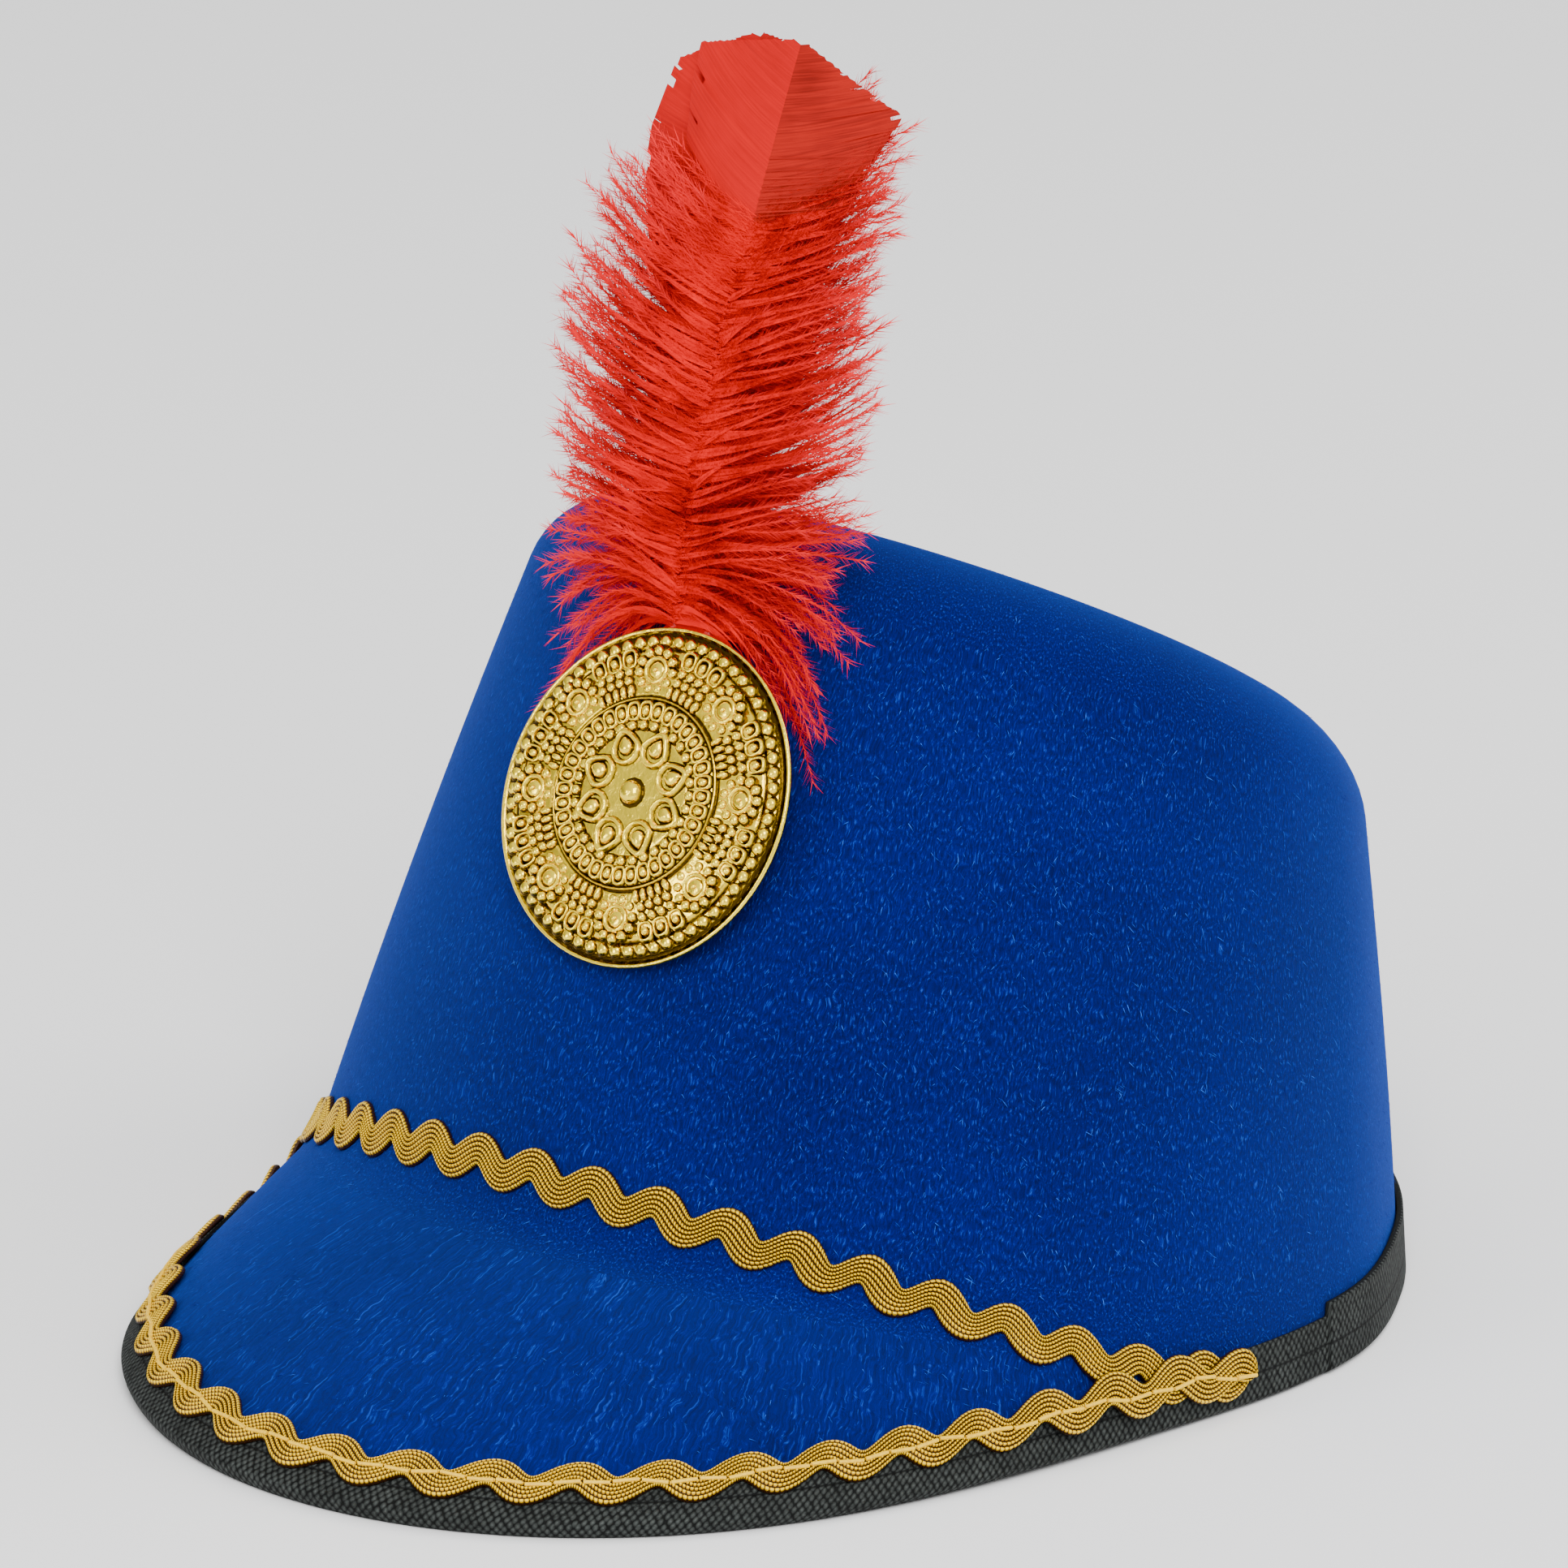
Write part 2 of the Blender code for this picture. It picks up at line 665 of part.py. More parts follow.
def build_feather(name, finish, collection, helpers):
    feather = FEATHERS[name]
    vane = add_object(name, loft(name, vane_sections(feather), False), finish, collection)
    shape = bmesh.new()
    for lock in LOCKS[:LOW_LOCKS]:
        add_lock(shape, feather, lock, feather["low_side"], True)
    for lock in LOCKS[feather["first_upper"] :]:
        add_lock(shape, feather, lock, -1, False)
        add_lock(shape, feather, lock, 1, False)
    mesh = bpy.data.meshes.new(name + "_down")
    shape.to_mesh(mesh)
    shape.free()
    down = bpy.data.objects.new(name + "_down", mesh)
    down.hide_render = True
    down.display_type = "WIRE"
    helpers.objects.link(down)
    union = vane.modifiers.new("down", "BOOLEAN")
    union.operation = "UNION"
    union.solver = "EXACT"
    union.use_self = True
    union.object = down
    return vane


def hat_bounds(objects):
    graph = bpy.context.evaluated_depsgraph_get()
    corners = [
        one.matrix_world @ Vector(corner) for one in objects for corner in one.evaluated_get(graph).bound_box
    ]
    low = Vector([min(corner[axis] for corner in corners) for axis in range(3)])
    high = Vector([max(corner[axis] for corner in corners) for axis in range(3)])
    return low, high


def main():
    for one in list(bpy.data.objects):
        bpy.data.objects.remove(one)
    hat = bpy.data.collections.new("majorette_hat")
    helpers = bpy.data.collections.new("helpers")
    bpy.context.scene.collection.children.link(hat)
    bpy.context.scene.collection.children.link(helpers)

    felt = material("blue_felt", BLUE, 0.95)
    tape = material("black_tape", BLACK, 0.85)
    gold_thread = material("gold_thread", BRAID_GOLD, 0.4, 0.8)
    gold_metal = material("gold_metal", METAL_GOLD, 0.2, 1.0)
    plume = material("red_feather", RED, 0.7)
    plain = material("plain_plastic", PLAIN, 0.6)
    nodes = [
        build_felt(felt, hat),
        build_tape(tape, hat),
        build_braid("braid_upper", upper_braid_climb, upper_braid_lift, gold_thread, hat),
        build_braid("braid_lower", lower_braid_climb, lower_braid_lift, gold_thread, hat),
        build_medallion(gold_metal, hat, helpers),
        build_stud(plain, hat),
        build_feather("feather_front", plume, hat, helpers),
        build_feather("feather_back", plume, hat, helpers),
    ]

    bpy.context.view_layer.update()
    low, high = hat_bounds(nodes)
    shift = Vector((-(low.x + high.x) / 2, -(low.y + high.y) / 2, -low.z))
    for one in list(hat.objects) + list(helpers.objects):
        one.location += shift


main()
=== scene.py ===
import json
import math

import bmesh
import bpy
import numpy as np
from mathutils import Matrix, Vector

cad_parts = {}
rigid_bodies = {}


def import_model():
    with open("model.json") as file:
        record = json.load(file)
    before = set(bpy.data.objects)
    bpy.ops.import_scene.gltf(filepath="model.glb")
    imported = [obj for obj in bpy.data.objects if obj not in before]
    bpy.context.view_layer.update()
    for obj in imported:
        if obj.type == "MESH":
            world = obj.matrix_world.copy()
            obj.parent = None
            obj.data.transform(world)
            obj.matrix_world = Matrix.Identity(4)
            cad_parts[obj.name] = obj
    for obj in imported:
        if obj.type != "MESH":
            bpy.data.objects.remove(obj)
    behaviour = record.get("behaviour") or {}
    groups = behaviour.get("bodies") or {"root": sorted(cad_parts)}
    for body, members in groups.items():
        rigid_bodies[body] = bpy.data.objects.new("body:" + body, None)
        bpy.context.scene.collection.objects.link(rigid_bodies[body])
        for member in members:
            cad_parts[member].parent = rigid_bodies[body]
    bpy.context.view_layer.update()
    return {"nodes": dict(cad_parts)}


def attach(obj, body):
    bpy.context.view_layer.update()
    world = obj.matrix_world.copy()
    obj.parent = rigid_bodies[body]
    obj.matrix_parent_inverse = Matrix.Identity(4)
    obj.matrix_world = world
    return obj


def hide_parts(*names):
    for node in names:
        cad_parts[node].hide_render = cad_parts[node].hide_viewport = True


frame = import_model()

print("frame loaded:", sorted(frame["nodes"]))


# Small helpers for meshes, geometry node trees and materials


def makeMesh(name, verts, faces, material, uvs=None, wrap=None, smooth=True):
    mesh = bpy.data.meshes.new(name)
    mesh.from_pydata([tuple(v) for v in verts], [], [tuple(f) for f in faces])
    if uvs is not None:
        layer = mesh.uv_layers.new(name="UVMap")
        loops = np.empty(len(mesh.loops), np.int32)
        mesh.loops.foreach_get("vertex_index", loops)
        placed = np.array(uvs, np.float32)[loops]
        if wrap:
            # a face that crosses the map's start gets its far corners moved on by one full turn
            for face in mesh.polygons:
                corner = slice(face.loop_start, face.loop_start + face.loop_total)
                run = placed[corner, 0]
                if run.max() - run.min() > wrap / 2:
                    placed[corner, 0] = np.where(run < run.max() - wrap / 2, run + wrap, run)
        layer.data.foreach_set("uv", placed.ravel())
    mesh.materials.append(material)
    if smooth:
        mesh.shade_smooth()
    piece = bpy.data.objects.new(name, mesh)
    bpy.context.scene.collection.objects.link(piece)
    return piece


def addShade(piece, name, values):
    layer = piece.data.attributes.new(name, "FLOAT", "POINT")
    layer.data.foreach_set("value", np.asarray(values, np.float32).ravel())


def gridFaces(rows, columns, closedRows=False, closedColumns=False):
    faces = []
    for i in range(rows if closedRows else rows - 1):
        for j in range(columns if closedColumns else columns - 1):
            a, b = i * columns, (i + 1) % rows * columns
            k = (j + 1) % columns
            faces.append((a + j, a + k, b + k, b + j))
    return faces


def facesOutward(piece):
    mesh = bmesh.new()
    mesh.from_mesh(piece.data)
    bmesh.ops.recalc_face_normals(mesh, faces=mesh.faces)
    mesh.to_mesh(piece.data)
    mesh.free()


def finishPiece(piece, slotName, *nodes):
    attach(piece, "root")
    if nodes:
        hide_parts(*nodes)
    print("piece", piece.name, "faces", len(piece.data.polygons))
    return piece


class Tree:
    # a geometry node tree with named inputs, and links made as the nodes are
    def __init__(self, name, inputs):
        self.group = bpy.data.node_groups.new(name, "GeometryNodeTree")
        self.ids = {}
        self.group.interface.new_socket("Geometry", in_out="INPUT", socket_type="NodeSocketGeometry")
        self.group.interface.new_socket("Geometry", in_out="OUTPUT", socket_type="NodeSocketGeometry")
        for label, (kind, value) in inputs.items():
            socket = self.group.interface.new_socket(label, in_out="INPUT", socket_type="NodeSocket" + kind)
            if value is not None:
                socket.default_value = value
            self.ids[label] = socket.identifier
        self.start = self.group.nodes.new("NodeGroupInput")
        self.end = self.group.nodes.new("NodeGroupOutput")

    def node(self, kind, values=(), **options):
        made = self.group.nodes.new(kind)
        for key, value in options.items():
            setattr(made, key, value)
        for key, value in dict(values).items():
            if isinstance(value, bpy.types.NodeSocket):
                self.group.links.new(value, made.inputs[key])
            else:
                made.inputs[key].default_value = value
        return made

    def get(self, label):
        return self.start.outputs[label]

    def close(self, geometry, material):
        realized = self.node("GeometryNodeRealizeInstances", {"Geometry": geometry})
        painted = self.node("GeometryNodeSetMaterial", {"Geometry": realized.outputs[0], "Material": material})
        self.group.links.new(painted.outputs[0], self.end.inputs[0])


def runTree(tree, carrier, settings, name, material):
    # the tree runs on the carrier with these settings, and its result is a plain mesh of its own
    modifier = carrier.modifiers.new("tree", "NODES")
    modifier.node_group = tree.group
    for label, value in settings.items():
        modifier[tree.ids[label]] = value
    graph = bpy.context.evaluated_depsgraph_get()
    mesh = bpy.data.meshes.new_from_object(carrier.evaluated_get(graph))
    carrier.modifiers.remove(modifier)
    mesh.name = name
    if not mesh.materials:
        mesh.materials.append(material)
    piece = bpy.data.objects.new(name, mesh)
    bpy.context.scene.collection.objects.link(piece)
    return piece


def removeObject(item):
    bpy.data.objects.remove(item)


class Finish:
    # a material whose nodes are added and linked in one call each
    def __init__(self, name, roughness=0.8, metallic=0.0, specular=0.5):
        self.material = bpy.data.materials.new(name)
        self.material.use_nodes = True
        self.nodes = self.material.node_tree.nodes
        self.links = self.material.node_tree.links
        self.shader = self.nodes["Principled BSDF"]
        self.shader.inputs["Roughness"].default_value = roughness
        self.shader.inputs["Metallic"].default_value = metallic
        self.shader.inputs["Specular IOR Level"].default_value = specular

    def add(self, kind, values=(), out=0, **options):
        made = self.nodes.new(kind)
        for key, value in options.items():
            setattr(made, key, value)
        for key, value in dict(values).items():
            if isinstance(value, bpy.types.NodeSocket):
                self.links.new(value, made.inputs[key])
            else:
                made.inputs[key].default_value = value
        return made.outputs[out]

    def math(self, operation, *values):
        return self.add("ShaderNodeMath", dict(enumerate(values)), operation=operation)

    def ramp(self, value, stops):
        made = self.nodes.new("ShaderNodeValToRGB")
        self.links.new(value, made.inputs[0])
        bar = made.color_ramp.elements
        while len(bar) < len(stops):
            bar.new(0.5)
        for element, (place, colour) in zip(bar, stops):
            element.position = place
            element.color = (*colour, 1.0) if len(colour) == 3 else colour
        return made.outputs[0]

    def mix(self, share, first, second, blend="MIX"):
        made = self.nodes.new("ShaderNodeMix")
        made.data_type = "RGBA"
        made.blend_type = blend
        for key, value in ((0, share), (6, first), (7, second)):
            if isinstance(value, bpy.types.NodeSocket):
                self.links.new(value, made.inputs[key])
            elif isinstance(value, (int, float)):
                made.inputs[key].default_value = value
            else:
                made.inputs[key].default_value = (*value, 1.0)
        return made.outputs[2]

    def bump(self, height, strength, distance, normal=None):
        values = {"Height": height, "Strength": strength, "Distance": distance}
        if normal is not None:
            values["Normal"] = normal
        return self.add("ShaderNodeBump", values)

    def set(self, **values):
        for key, value in values.items():
            socket = self.shader.inputs[key.replace("_", " ")]
            if isinstance(value, bpy.types.NodeSocket):
                self.links.new(value, socket)
            else:
                socket.default_value = value
        return self.material


# The felt's shape, with the same sizes as the solids

hat = {
    "place": (-0.000087, 0.029413, 0.0),
    "rimHalfWidth": 0.097,
    "rimFront": 0.099,
    "rimBack": 0.091,
    "felt": 0.0018,
    "topHalfWidth": 0.076,
    "topHalfLength": 0.061,
    "topSetBack": 0.0248,
    "topHeight": 0.1075,
    "topSlope": math.radians(31.5),
    "topDome": 0.004,
    "shoulder": 0.013,
    "frontBow": 0.0048,
    "backBow": 0.0037,
    "peakReach": 0.051,
    "peakSpread": math.radians(84.5),
    "peakTaper": 2.66,
    "peakSwell": 0.0026,
    "creaseHeight": 0.0275,
    "creaseTaper": 1.15,
    "creaseRadius": 0.006,
    "farTuck": 0.0088,
    "farTuckAngle": math.radians(-56.0),
    "farTuckSpread": math.radians(22.0),
    "farBulge": 0.0015,
    "farCrease": 0.0030,
    "backTuck": 0.0018,
    "backTuckAngle": math.radians(96.0),
    "tape": 0.001,
    "tapeHeight": 0.0098,
    "tapePress": 0.00035,
    "gap": 0.0003,
}
place = np.array(hat["place"])
zAxis = np.array([0.0, 0.0, 1.0])


def outward(a):
    return np.stack([np.sin(a), -np.cos(a), 0 * a], -1)


def smoothStep(t):
    t = np.clip(t, 0, 1)
    return t * t * (3 - 2 * t)


def unit(v):
    return v / np.maximum(np.linalg.norm(v, axis=-1, keepdims=True), 1e-12)


def rimOval(a):
    radius = np.where(np.cos(a) > 0, hat["rimFront"], hat["rimBack"])
    oval = np.stack([hat["rimHalfWidth"] * np.sin(a), -radius * np.cos(a), 0 * a], -1)
    turned = np.abs(np.arctan2(np.sin(a), np.cos(a)))
    tuck = hat["backTuck"] * smoothStep((turned - hat["backTuckAngle"]) / math.radians(20))
    return oval - outward(a) * tuck[..., None]


def topPoint(a, inset=0.0):
    along = (hat["topHalfLength"] - inset) * np.cos(a)
    side = (hat["topHalfWidth"] - inset) * np.sin(a)
    slope = hat["topSlope"]
    return np.stack(
        [side, hat["topSetBack"] - along * math.cos(slope), hat["topHeight"] + along * math.sin(slope)], -1
    )


def wallPoint(a, height):
    foot, head = rimOval(a), topPoint(a)
    share = (height / head[..., 2])[..., None]
    bow = np.where(np.cos(a) > 0, hat["frontBow"], hat["backBow"]) * np.cos(a) ** 2
    return foot + (head - foot) * share + outward(a) * bow[..., None] * 4 * share * (1 - share)


def peakShare(a):
    a = np.arctan2(np.sin(a), np.cos(a))
    return np.cos(np.minimum(np.abs(a) / hat["peakSpread"], 1) * math.pi / 2)


def farSide(a):
    turned = np.arctan2(np.sin(a), np.cos(a))
    return np.exp(-(((turned - hat["farTuckAngle"]) / hat["farTuckSpread"]) ** 2))


def creaseAt(a):
    low = hat["tapeHeight"] + hat["creaseRadius"] / 4
    height = low + (hat["creaseHeight"] - low) * peakShare(a) ** hat["creaseTaper"]
    return np.maximum(height - hat["farCrease"] * farSide(a), low)


def swellAt(a):
    return hat["peakSwell"] * peakShare(a) ** 2 + hat["farBulge"] * farSide(a)


def tapeCorners():
    outer, inner = hat["gap"] + hat["tape"], -(hat["felt"] + 2 * hat["gap"] + hat["tape"])
    return ((outer, 0.0), (0.0, -outer), (inner + hat["tape"], -outer), (inner, 0.0))


def rimPoint(a):
    # the felt's lower edge, raised so that the tape under it stands on the floor
    out = outward(a)
    reach = hat["peakReach"] * peakShare(a) ** hat["peakTaper"] - hat["farTuck"] * farSide(a)
    foot = rimOval(a) + out * reach[..., None]
    run = wallPoint(a, creaseAt(a)) - foot
    across, rise = (run * out).sum(-1), run[..., 2]
    swell = 4 * swellAt(a) / np.linalg.norm(run, axis=-1)
    upOut, upZ = across + rise * swell, rise - across * swell
    size = np.hypot(upOut, upZ)
    upOut, upZ = upOut / size, upZ / size
    lowest = np.min([-upOut * off + upZ * climb for off, climb in tapeCorners()], axis=0)
    foot[..., 2] += -lowest - hat["tapePress"]
    return foot


def feltPoint(a, row):
    # outer side of the felt: row 0 to 1 is the peak, to 2 its crease, to 3 the wall, to 4 the shoulder, to 5 the top
    rim = rimPoint(a)
    crease = wallPoint(a, creaseAt(a))
    run = crease - rim
    out = outward(a)
    length = np.linalg.norm(run, axis=-1)[..., None]
    if row <= 2:
        swellWay = unit(out * run[..., 2:3] - zAxis * (run * out).sum(-1)[..., None])
        swell = swellAt(a)[..., None]
        turn = 1 - hat["creaseRadius"] / length
        if row <= 1:
            share = row * turn
            return rim + run * share + swellWay * swell * 4 * share * (1 - share)
        start = rim + run * turn + swellWay * swell * 4 * turn * (1 - turn)
        end = wallPoint(a, crease[..., 2] + hat["creaseRadius"])
        t = row - 1
        first, second = start + (crease - start) * t, crease + (end - crease) * t
        return first + (second - first) * t
    corner = topPoint(a)
    low, high = crease[..., 2] + hat["creaseRadius"], corner[..., 2] - hat["shoulder"]
    if row <= 3:
        return wallPoint(a, low + (high - low) * (row - 2))
    inner = topPoint(a, hat["shoulder"])
    if row <= 4:
        bend = (row - 3) * math.pi / 2
        fromWall = (wallPoint(a, high) - corner) * (1 - math.sin(bend))
        return corner + fromWall + (inner - corner) * (1 - math.cos(bend))
    t = row - 4
    flat = np.array([0, hat["topSetBack"], hat["topHeight"]])
    lift = np.array([0, math.sin(hat["topSlope"]), math.cos(hat["topSlope"])]) * hat["topDome"]
    return inner + (flat + lift - inner) * t + lift * (1 - (1 - t) ** 2 - t)


# the felt as a map by angle and by the distance climbed from its rim
mapAngles = np.linspace(-math.pi, math.pi, 1441)
mapRows = np.concatenate([np.linspace(0, 1, 41), np.linspace(1, 2, 13)[1:], np.linspace(2, 3, 41)[1:]])
mapColumns = np.stack([feltPoint(mapAngles, row) for row in mapRows], 1)
mapRuns = np.concatenate(
    [np.zeros((len(mapAngles), 1)), np.cumsum(np.linalg.norm(np.diff(mapColumns, axis=1), axis=-1), 1)], 1
)
mapStep = 0.0005
mapClimbs = np.arange(0, 0.17, mapStep)
feltMap = np.stack(
    [
        np.stack([np.interp(mapClimbs, mapRuns[i], mapColumns[i, :, k]) for k in range(3)], -1)
        for i in range(len(mapAngles))
    ]
)
feltNormals = unit(np.cross(np.gradient(feltMap, axis=0), np.gradient(feltMap, axis=1)))


def onFelt(a, climb, lift=0.0):
    a = (np.asarray(a, float) + math.pi) % math.tau / math.tau * (len(mapAngles) - 1)
    c = np.clip(np.asarray(climb, float), 0, mapClimbs[-2]) / mapStep
    a, c = np.broadcast_arrays(a, c)
    i, j = np.minimum(a.astype(int), len(mapAngles) - 2), c.astype(int)
    u, v = (a - i)[..., None], (c - j)[..., None]

    def between(table):
        low = table[i, j] * (1 - u) + table[i + 1, j] * u
        high = table[i, j + 1] * (1 - u) + table[i + 1, j + 1] * u
        return low * (1 - v) + high * v

    return between(feltMap) + unit(between(feltNormals)) * np.asarray(lift)[..., None]


def climbAtHeight(a, height):
    a, height = np.broadcast_arrays(np.asarray(a, float), np.asarray(height, float))
    climbs = np.empty(a.shape)
    for k in range(a.size):
        i = int(round((a.flat[k] + math.pi) % math.tau / math.tau * (len(mapAngles) - 1)))
        climbs.flat[k] = np.interp(height.flat[k], feltMap[i, :, 2], mapClimbs)
    return climbs


print("felt mapped")


# Felt

feltLook = {
    "deep": (0.0004, 0.0018, 0.072),
    "middle": (0.0008, 0.0036, 0.108),
    "light": (0.0020, 0.0110, 0.185),
    "fleck": (0.020, 0.110, 0.58),
    # edge is the painted sheen colour, laid on where the felt turns away from the view
    "edge": (0.008, 0.070, 0.42),
    "anglesRound": 256,
    "runRound": 0.60,
    "napPerSquareMetre": 260000,
    "napLength": 0.0017,
    "napWidth": 0.00009,
}


def feltFinish():
    felt = Finish("blueFelt", roughness=0.95, specular=0.08)
    spot = felt.add("ShaderNodeTexCoord", out=3)
    uv = felt.add("ShaderNodeTexCoord", out=2)
    # the nap is combed down the walls, and across the top from front to back
    waver = felt.add("ShaderNodeTexNoise", {"Vector": spot, "Scale": 210.0, "Detail": 2.0}, out=1)
    pushed = felt.add("ShaderNodeVectorMath", {0: waver, 1: (0.0024, 0.0024, 0.0024)}, operation="MULTIPLY")
    wall = felt.add("ShaderNodeVectorMath", {0: uv, 1: pushed}, operation="ADD")
    wall = felt.add("ShaderNodeMapping", {"Vector": wall, "Scale": (2500.0, 1800.0, 1.0)})
    top = felt.add("ShaderNodeVectorMath", {0: spot, 1: pushed}, operation="ADD")
    top = felt.add("ShaderNodeMapping", {"Vector": top, "Scale": (2500.0, 1800.0, 1800.0)})
    onTop = felt.add("ShaderNodeAttribute", attribute_name="top", out=2)
    combed = felt.add("ShaderNodeMix", {0: onTop, 4: wall, 5: top}, out=1, data_type="VECTOR")
    fibre = felt.add("ShaderNodeTexNoise", {"Vector": combed, "Scale": 1.0, "Detail": 3.0, "Roughness": 0.62})
    broad = felt.add("ShaderNodeTexNoise", {"Vector": spot, "Scale": 26.0, "Detail": 3.0, "Roughness": 0.5})
    grain = felt.add("ShaderNodeTexNoise", {"Vector": spot, "Scale": 1300.0, "Detail": 3.0, "Roughness": 0.7})
    base = felt.ramp(broad, ((0.25, feltLook["deep"]), (0.75, feltLook["middle"])))
    streaks = felt.ramp(fibre, ((0.34, (0.55, 0.55, 0.55)), (0.52, (1.0, 1.0, 1.0)), (0.68, (1.9, 1.9, 1.9))))
    body = felt.mix(1.0, base, streaks, "MULTIPLY")
    # painted sheen: the felt is mixed towards the edge colour where its surface turns away from the view, with a
    # little grain in it
    facing = felt.add("ShaderNodeLayerWeight", {"Blend": 0.32}, out=1)
    rim = felt.math("MULTIPLY", felt.math("POWER", facing, 1.6), felt.math("MULTIPLY_ADD", grain, 0.7, 0.45))
    body = felt.mix(rim, body, feltLook["edge"])
    flecks = felt.ramp(fibre, ((0.60, (0.0, 0.0, 0.0)), (0.70, (1.0, 1.0, 1.0))))
    colour = felt.mix(felt.math("MULTIPLY", flecks, 0.42), body, feltLook["fleck"])
    height = felt.math("ADD", fibre, felt.math("MULTIPLY", grain, 0.6))
    return felt.set(Base_Color=colour, Normal=felt.bump(height, 0.6, 0.0006))


def buildFelt(material):
    angles = np.linspace(-math.pi, math.pi, feltLook["anglesRound"], endpoint=False)
    rows = np.concatenate(
        [
            np.linspace(0, 1, 15),
            np.linspace(1, 2, 7)[1:],
            np.linspace(2, 3, 19)[1:],
            np.linspace(3, 4, 11)[1:],
            np.linspace(4, 5, 15)[1:-1],
        ]
    )
    outer = np.stack([feltPoint(angles, row) for row in rows])
    around = np.roll(outer, -1, 1) - np.roll(outer, 1, 1)
    normals = unit(np.cross(around, np.gradient(outer, axis=0)))
    inner = outer - normals * hat["felt"]
    top = feltPoint(np.zeros(1), 5)[0]
    away = np.array([0, math.sin(hat["topSlope"]), math.cos(hat["topSlope"])]) * hat["felt"]
    count = len(angles)
    sheets = np.concatenate([inner[::-1], outer]).reshape(-1, 3)
    faces = gridFaces(len(rows) * 2, count, closedColumns=True)
    last = len(sheets)
    verts = np.concatenate([sheets, [top - away], [top]]) + place
    climbs = np.cumsum(np.linalg.norm(np.diff(outer[:, :1], axis=0, prepend=outer[:1, :1]), axis=-1), 0)
    run = (angles / math.tau * feltLook["runRound"])[None, :] + 0 * climbs
    uvs = np.stack([run, climbs + 0 * run], -1)
    uvs = np.concatenate([np.concatenate([uvs[::-1], uvs]).reshape(-1, 2), [[0, climbs[-1, 0]]] * 2])
    onTop = smoothStep((rows - 3.7) / 0.5)[:, None] + 0 * run
    onTop = np.concatenate([np.concatenate([onTop[::-1], onTop]).ravel(), [1, 1]])
    for j in range(count):
        k = (j + 1) % count
        faces.append((j, last, k))
        edge = (2 * len(rows) - 1) * count
        faces.append((edge + j, edge + k, last + 1))
    piece = makeMesh("feltShell", verts, faces, material, uvs, wrap=feltLook["runRound"])
    addShade(piece, "top", onTop)
    facesOutward(piece)
    return piece


def buildNap(shell, material):
    # short combed fibres standing a little off the felt, seen along its edges
    fibre = bpy.data.meshes.new("napFibre")
    width = feltLook["napWidth"] / 2
    fibre.from_pydata(
        [(-width, 0, 0), (width, 0, 0), (-width, 0.42, 0.11), (width, 0.42, 0.11), (0, 1, 0.16)],
        [],
        [(0, 1, 3, 2), (2, 3, 4)],
    )
    for vert in fibre.vertices:
        vert.co.y *= feltLook["napLength"]
        vert.co.z *= feltLook["napLength"]
    fibreObject = bpy.data.objects.new("napFibre", fibre)
    bpy.context.scene.collection.objects.link(fibreObject)
    tree = Tree("combedNap", {"Density": ("Float", 1000.0), "Fibre": ("Object", None), "Seed": ("Int", 3)})
    scatter = tree.node(
        "GeometryNodeDistributePointsOnFaces",
        {"Mesh": tree.get("Geometry"), "Density": tree.get("Density"), "Seed": tree.get("Seed")},
    )
    down = tree.node(
        "FunctionNodeAlignRotationToVector",
        {"Rotation": scatter.outputs["Rotation"], "Vector": (0.0, 0.0, -1.0)},
        axis="Y",
        pivot_axis="Z",
    )
    spin = tree.node("FunctionNodeRandomValue", {"Seed": 5}, data_type="FLOAT")
    spin.inputs[2].default_value, spin.inputs[3].default_value = -1.0, 1.0
    turn = tree.node("ShaderNodeCombineXYZ", {"Z": spin.outputs[1]})
    rotation = tree.node("FunctionNodeEulerToRotation", {0: turn.outputs[0]})
    turned = tree.node(
        "FunctionNodeRotateRotation",
        {"Rotation": down.outputs[0], "Rotate By": rotation.outputs[0]},
        rotation_space="LOCAL",
    )
    size = tree.node("FunctionNodeRandomValue", {"Seed": 8}, data_type="FLOAT")
    size.inputs[2].default_value, size.inputs[3].default_value = 0.5, 1.25
    shape = tree.node("GeometryNodeObjectInfo", {"Object": tree.get("Fibre")})
    fibres = tree.node(
        "GeometryNodeInstanceOnPoints",
        {
            "Points": scatter.outputs["Points"],
            "Instance": shape.outputs["Geometry"],
            "Rotation": turned.outputs[0],
            "Scale": size.outputs[1],
        },
    )
    tree.close(fibres.outputs[0], material)
    # only the outer side carries nap, above the tape
    angles = np.linspace(-math.pi, math.pi, 96, endpoint=False)
    rows = [0.3, 0.6, 1, 1.5, 2, 2.33, 2.67, 3, 3.33, 3.67, 4, 4.4, 4.8]
    outer = np.stack([feltPoint(angles, row) for row in rows]).reshape(-1, 3) + place
    bed = makeMesh("napBed", outer, gridFaces(len(rows), len(angles), closedColumns=True), material)
    facesOutward(bed)
    settings = {"Density": float(feltLook["napPerSquareMetre"]), "Fibre": fibreObject, "Seed": 3}
    piece = runTree(tree, bed, settings, "feltNap", material)
    removeObject(bed)
    removeObject(fibreObject)
    return piece


def napFinish():
    nap = Finish("blueNap", roughness=0.9, specular=0.1)
    spot = nap.add("ShaderNodeTexCoord", out=3)
    blotch = nap.add("ShaderNodeTexNoise", {"Vector": spot, "Scale": 700.0, "Detail": 1.0})
    colour = nap.ramp(
        blotch, ((0.35, feltLook["middle"]), (0.52, feltLook["light"]), (0.70, feltLook["fleck"]))
    )
    return nap.set(Base_Color=colour)


blueFelt = feltFinish()
feltShell = finishPiece(buildFelt(blueFelt), "blue_felt", "felt_crown_and_peak")
feltNap = finishPiece(buildNap(feltShell, napFinish()), "blue_felt")


# Tape folded over the rim

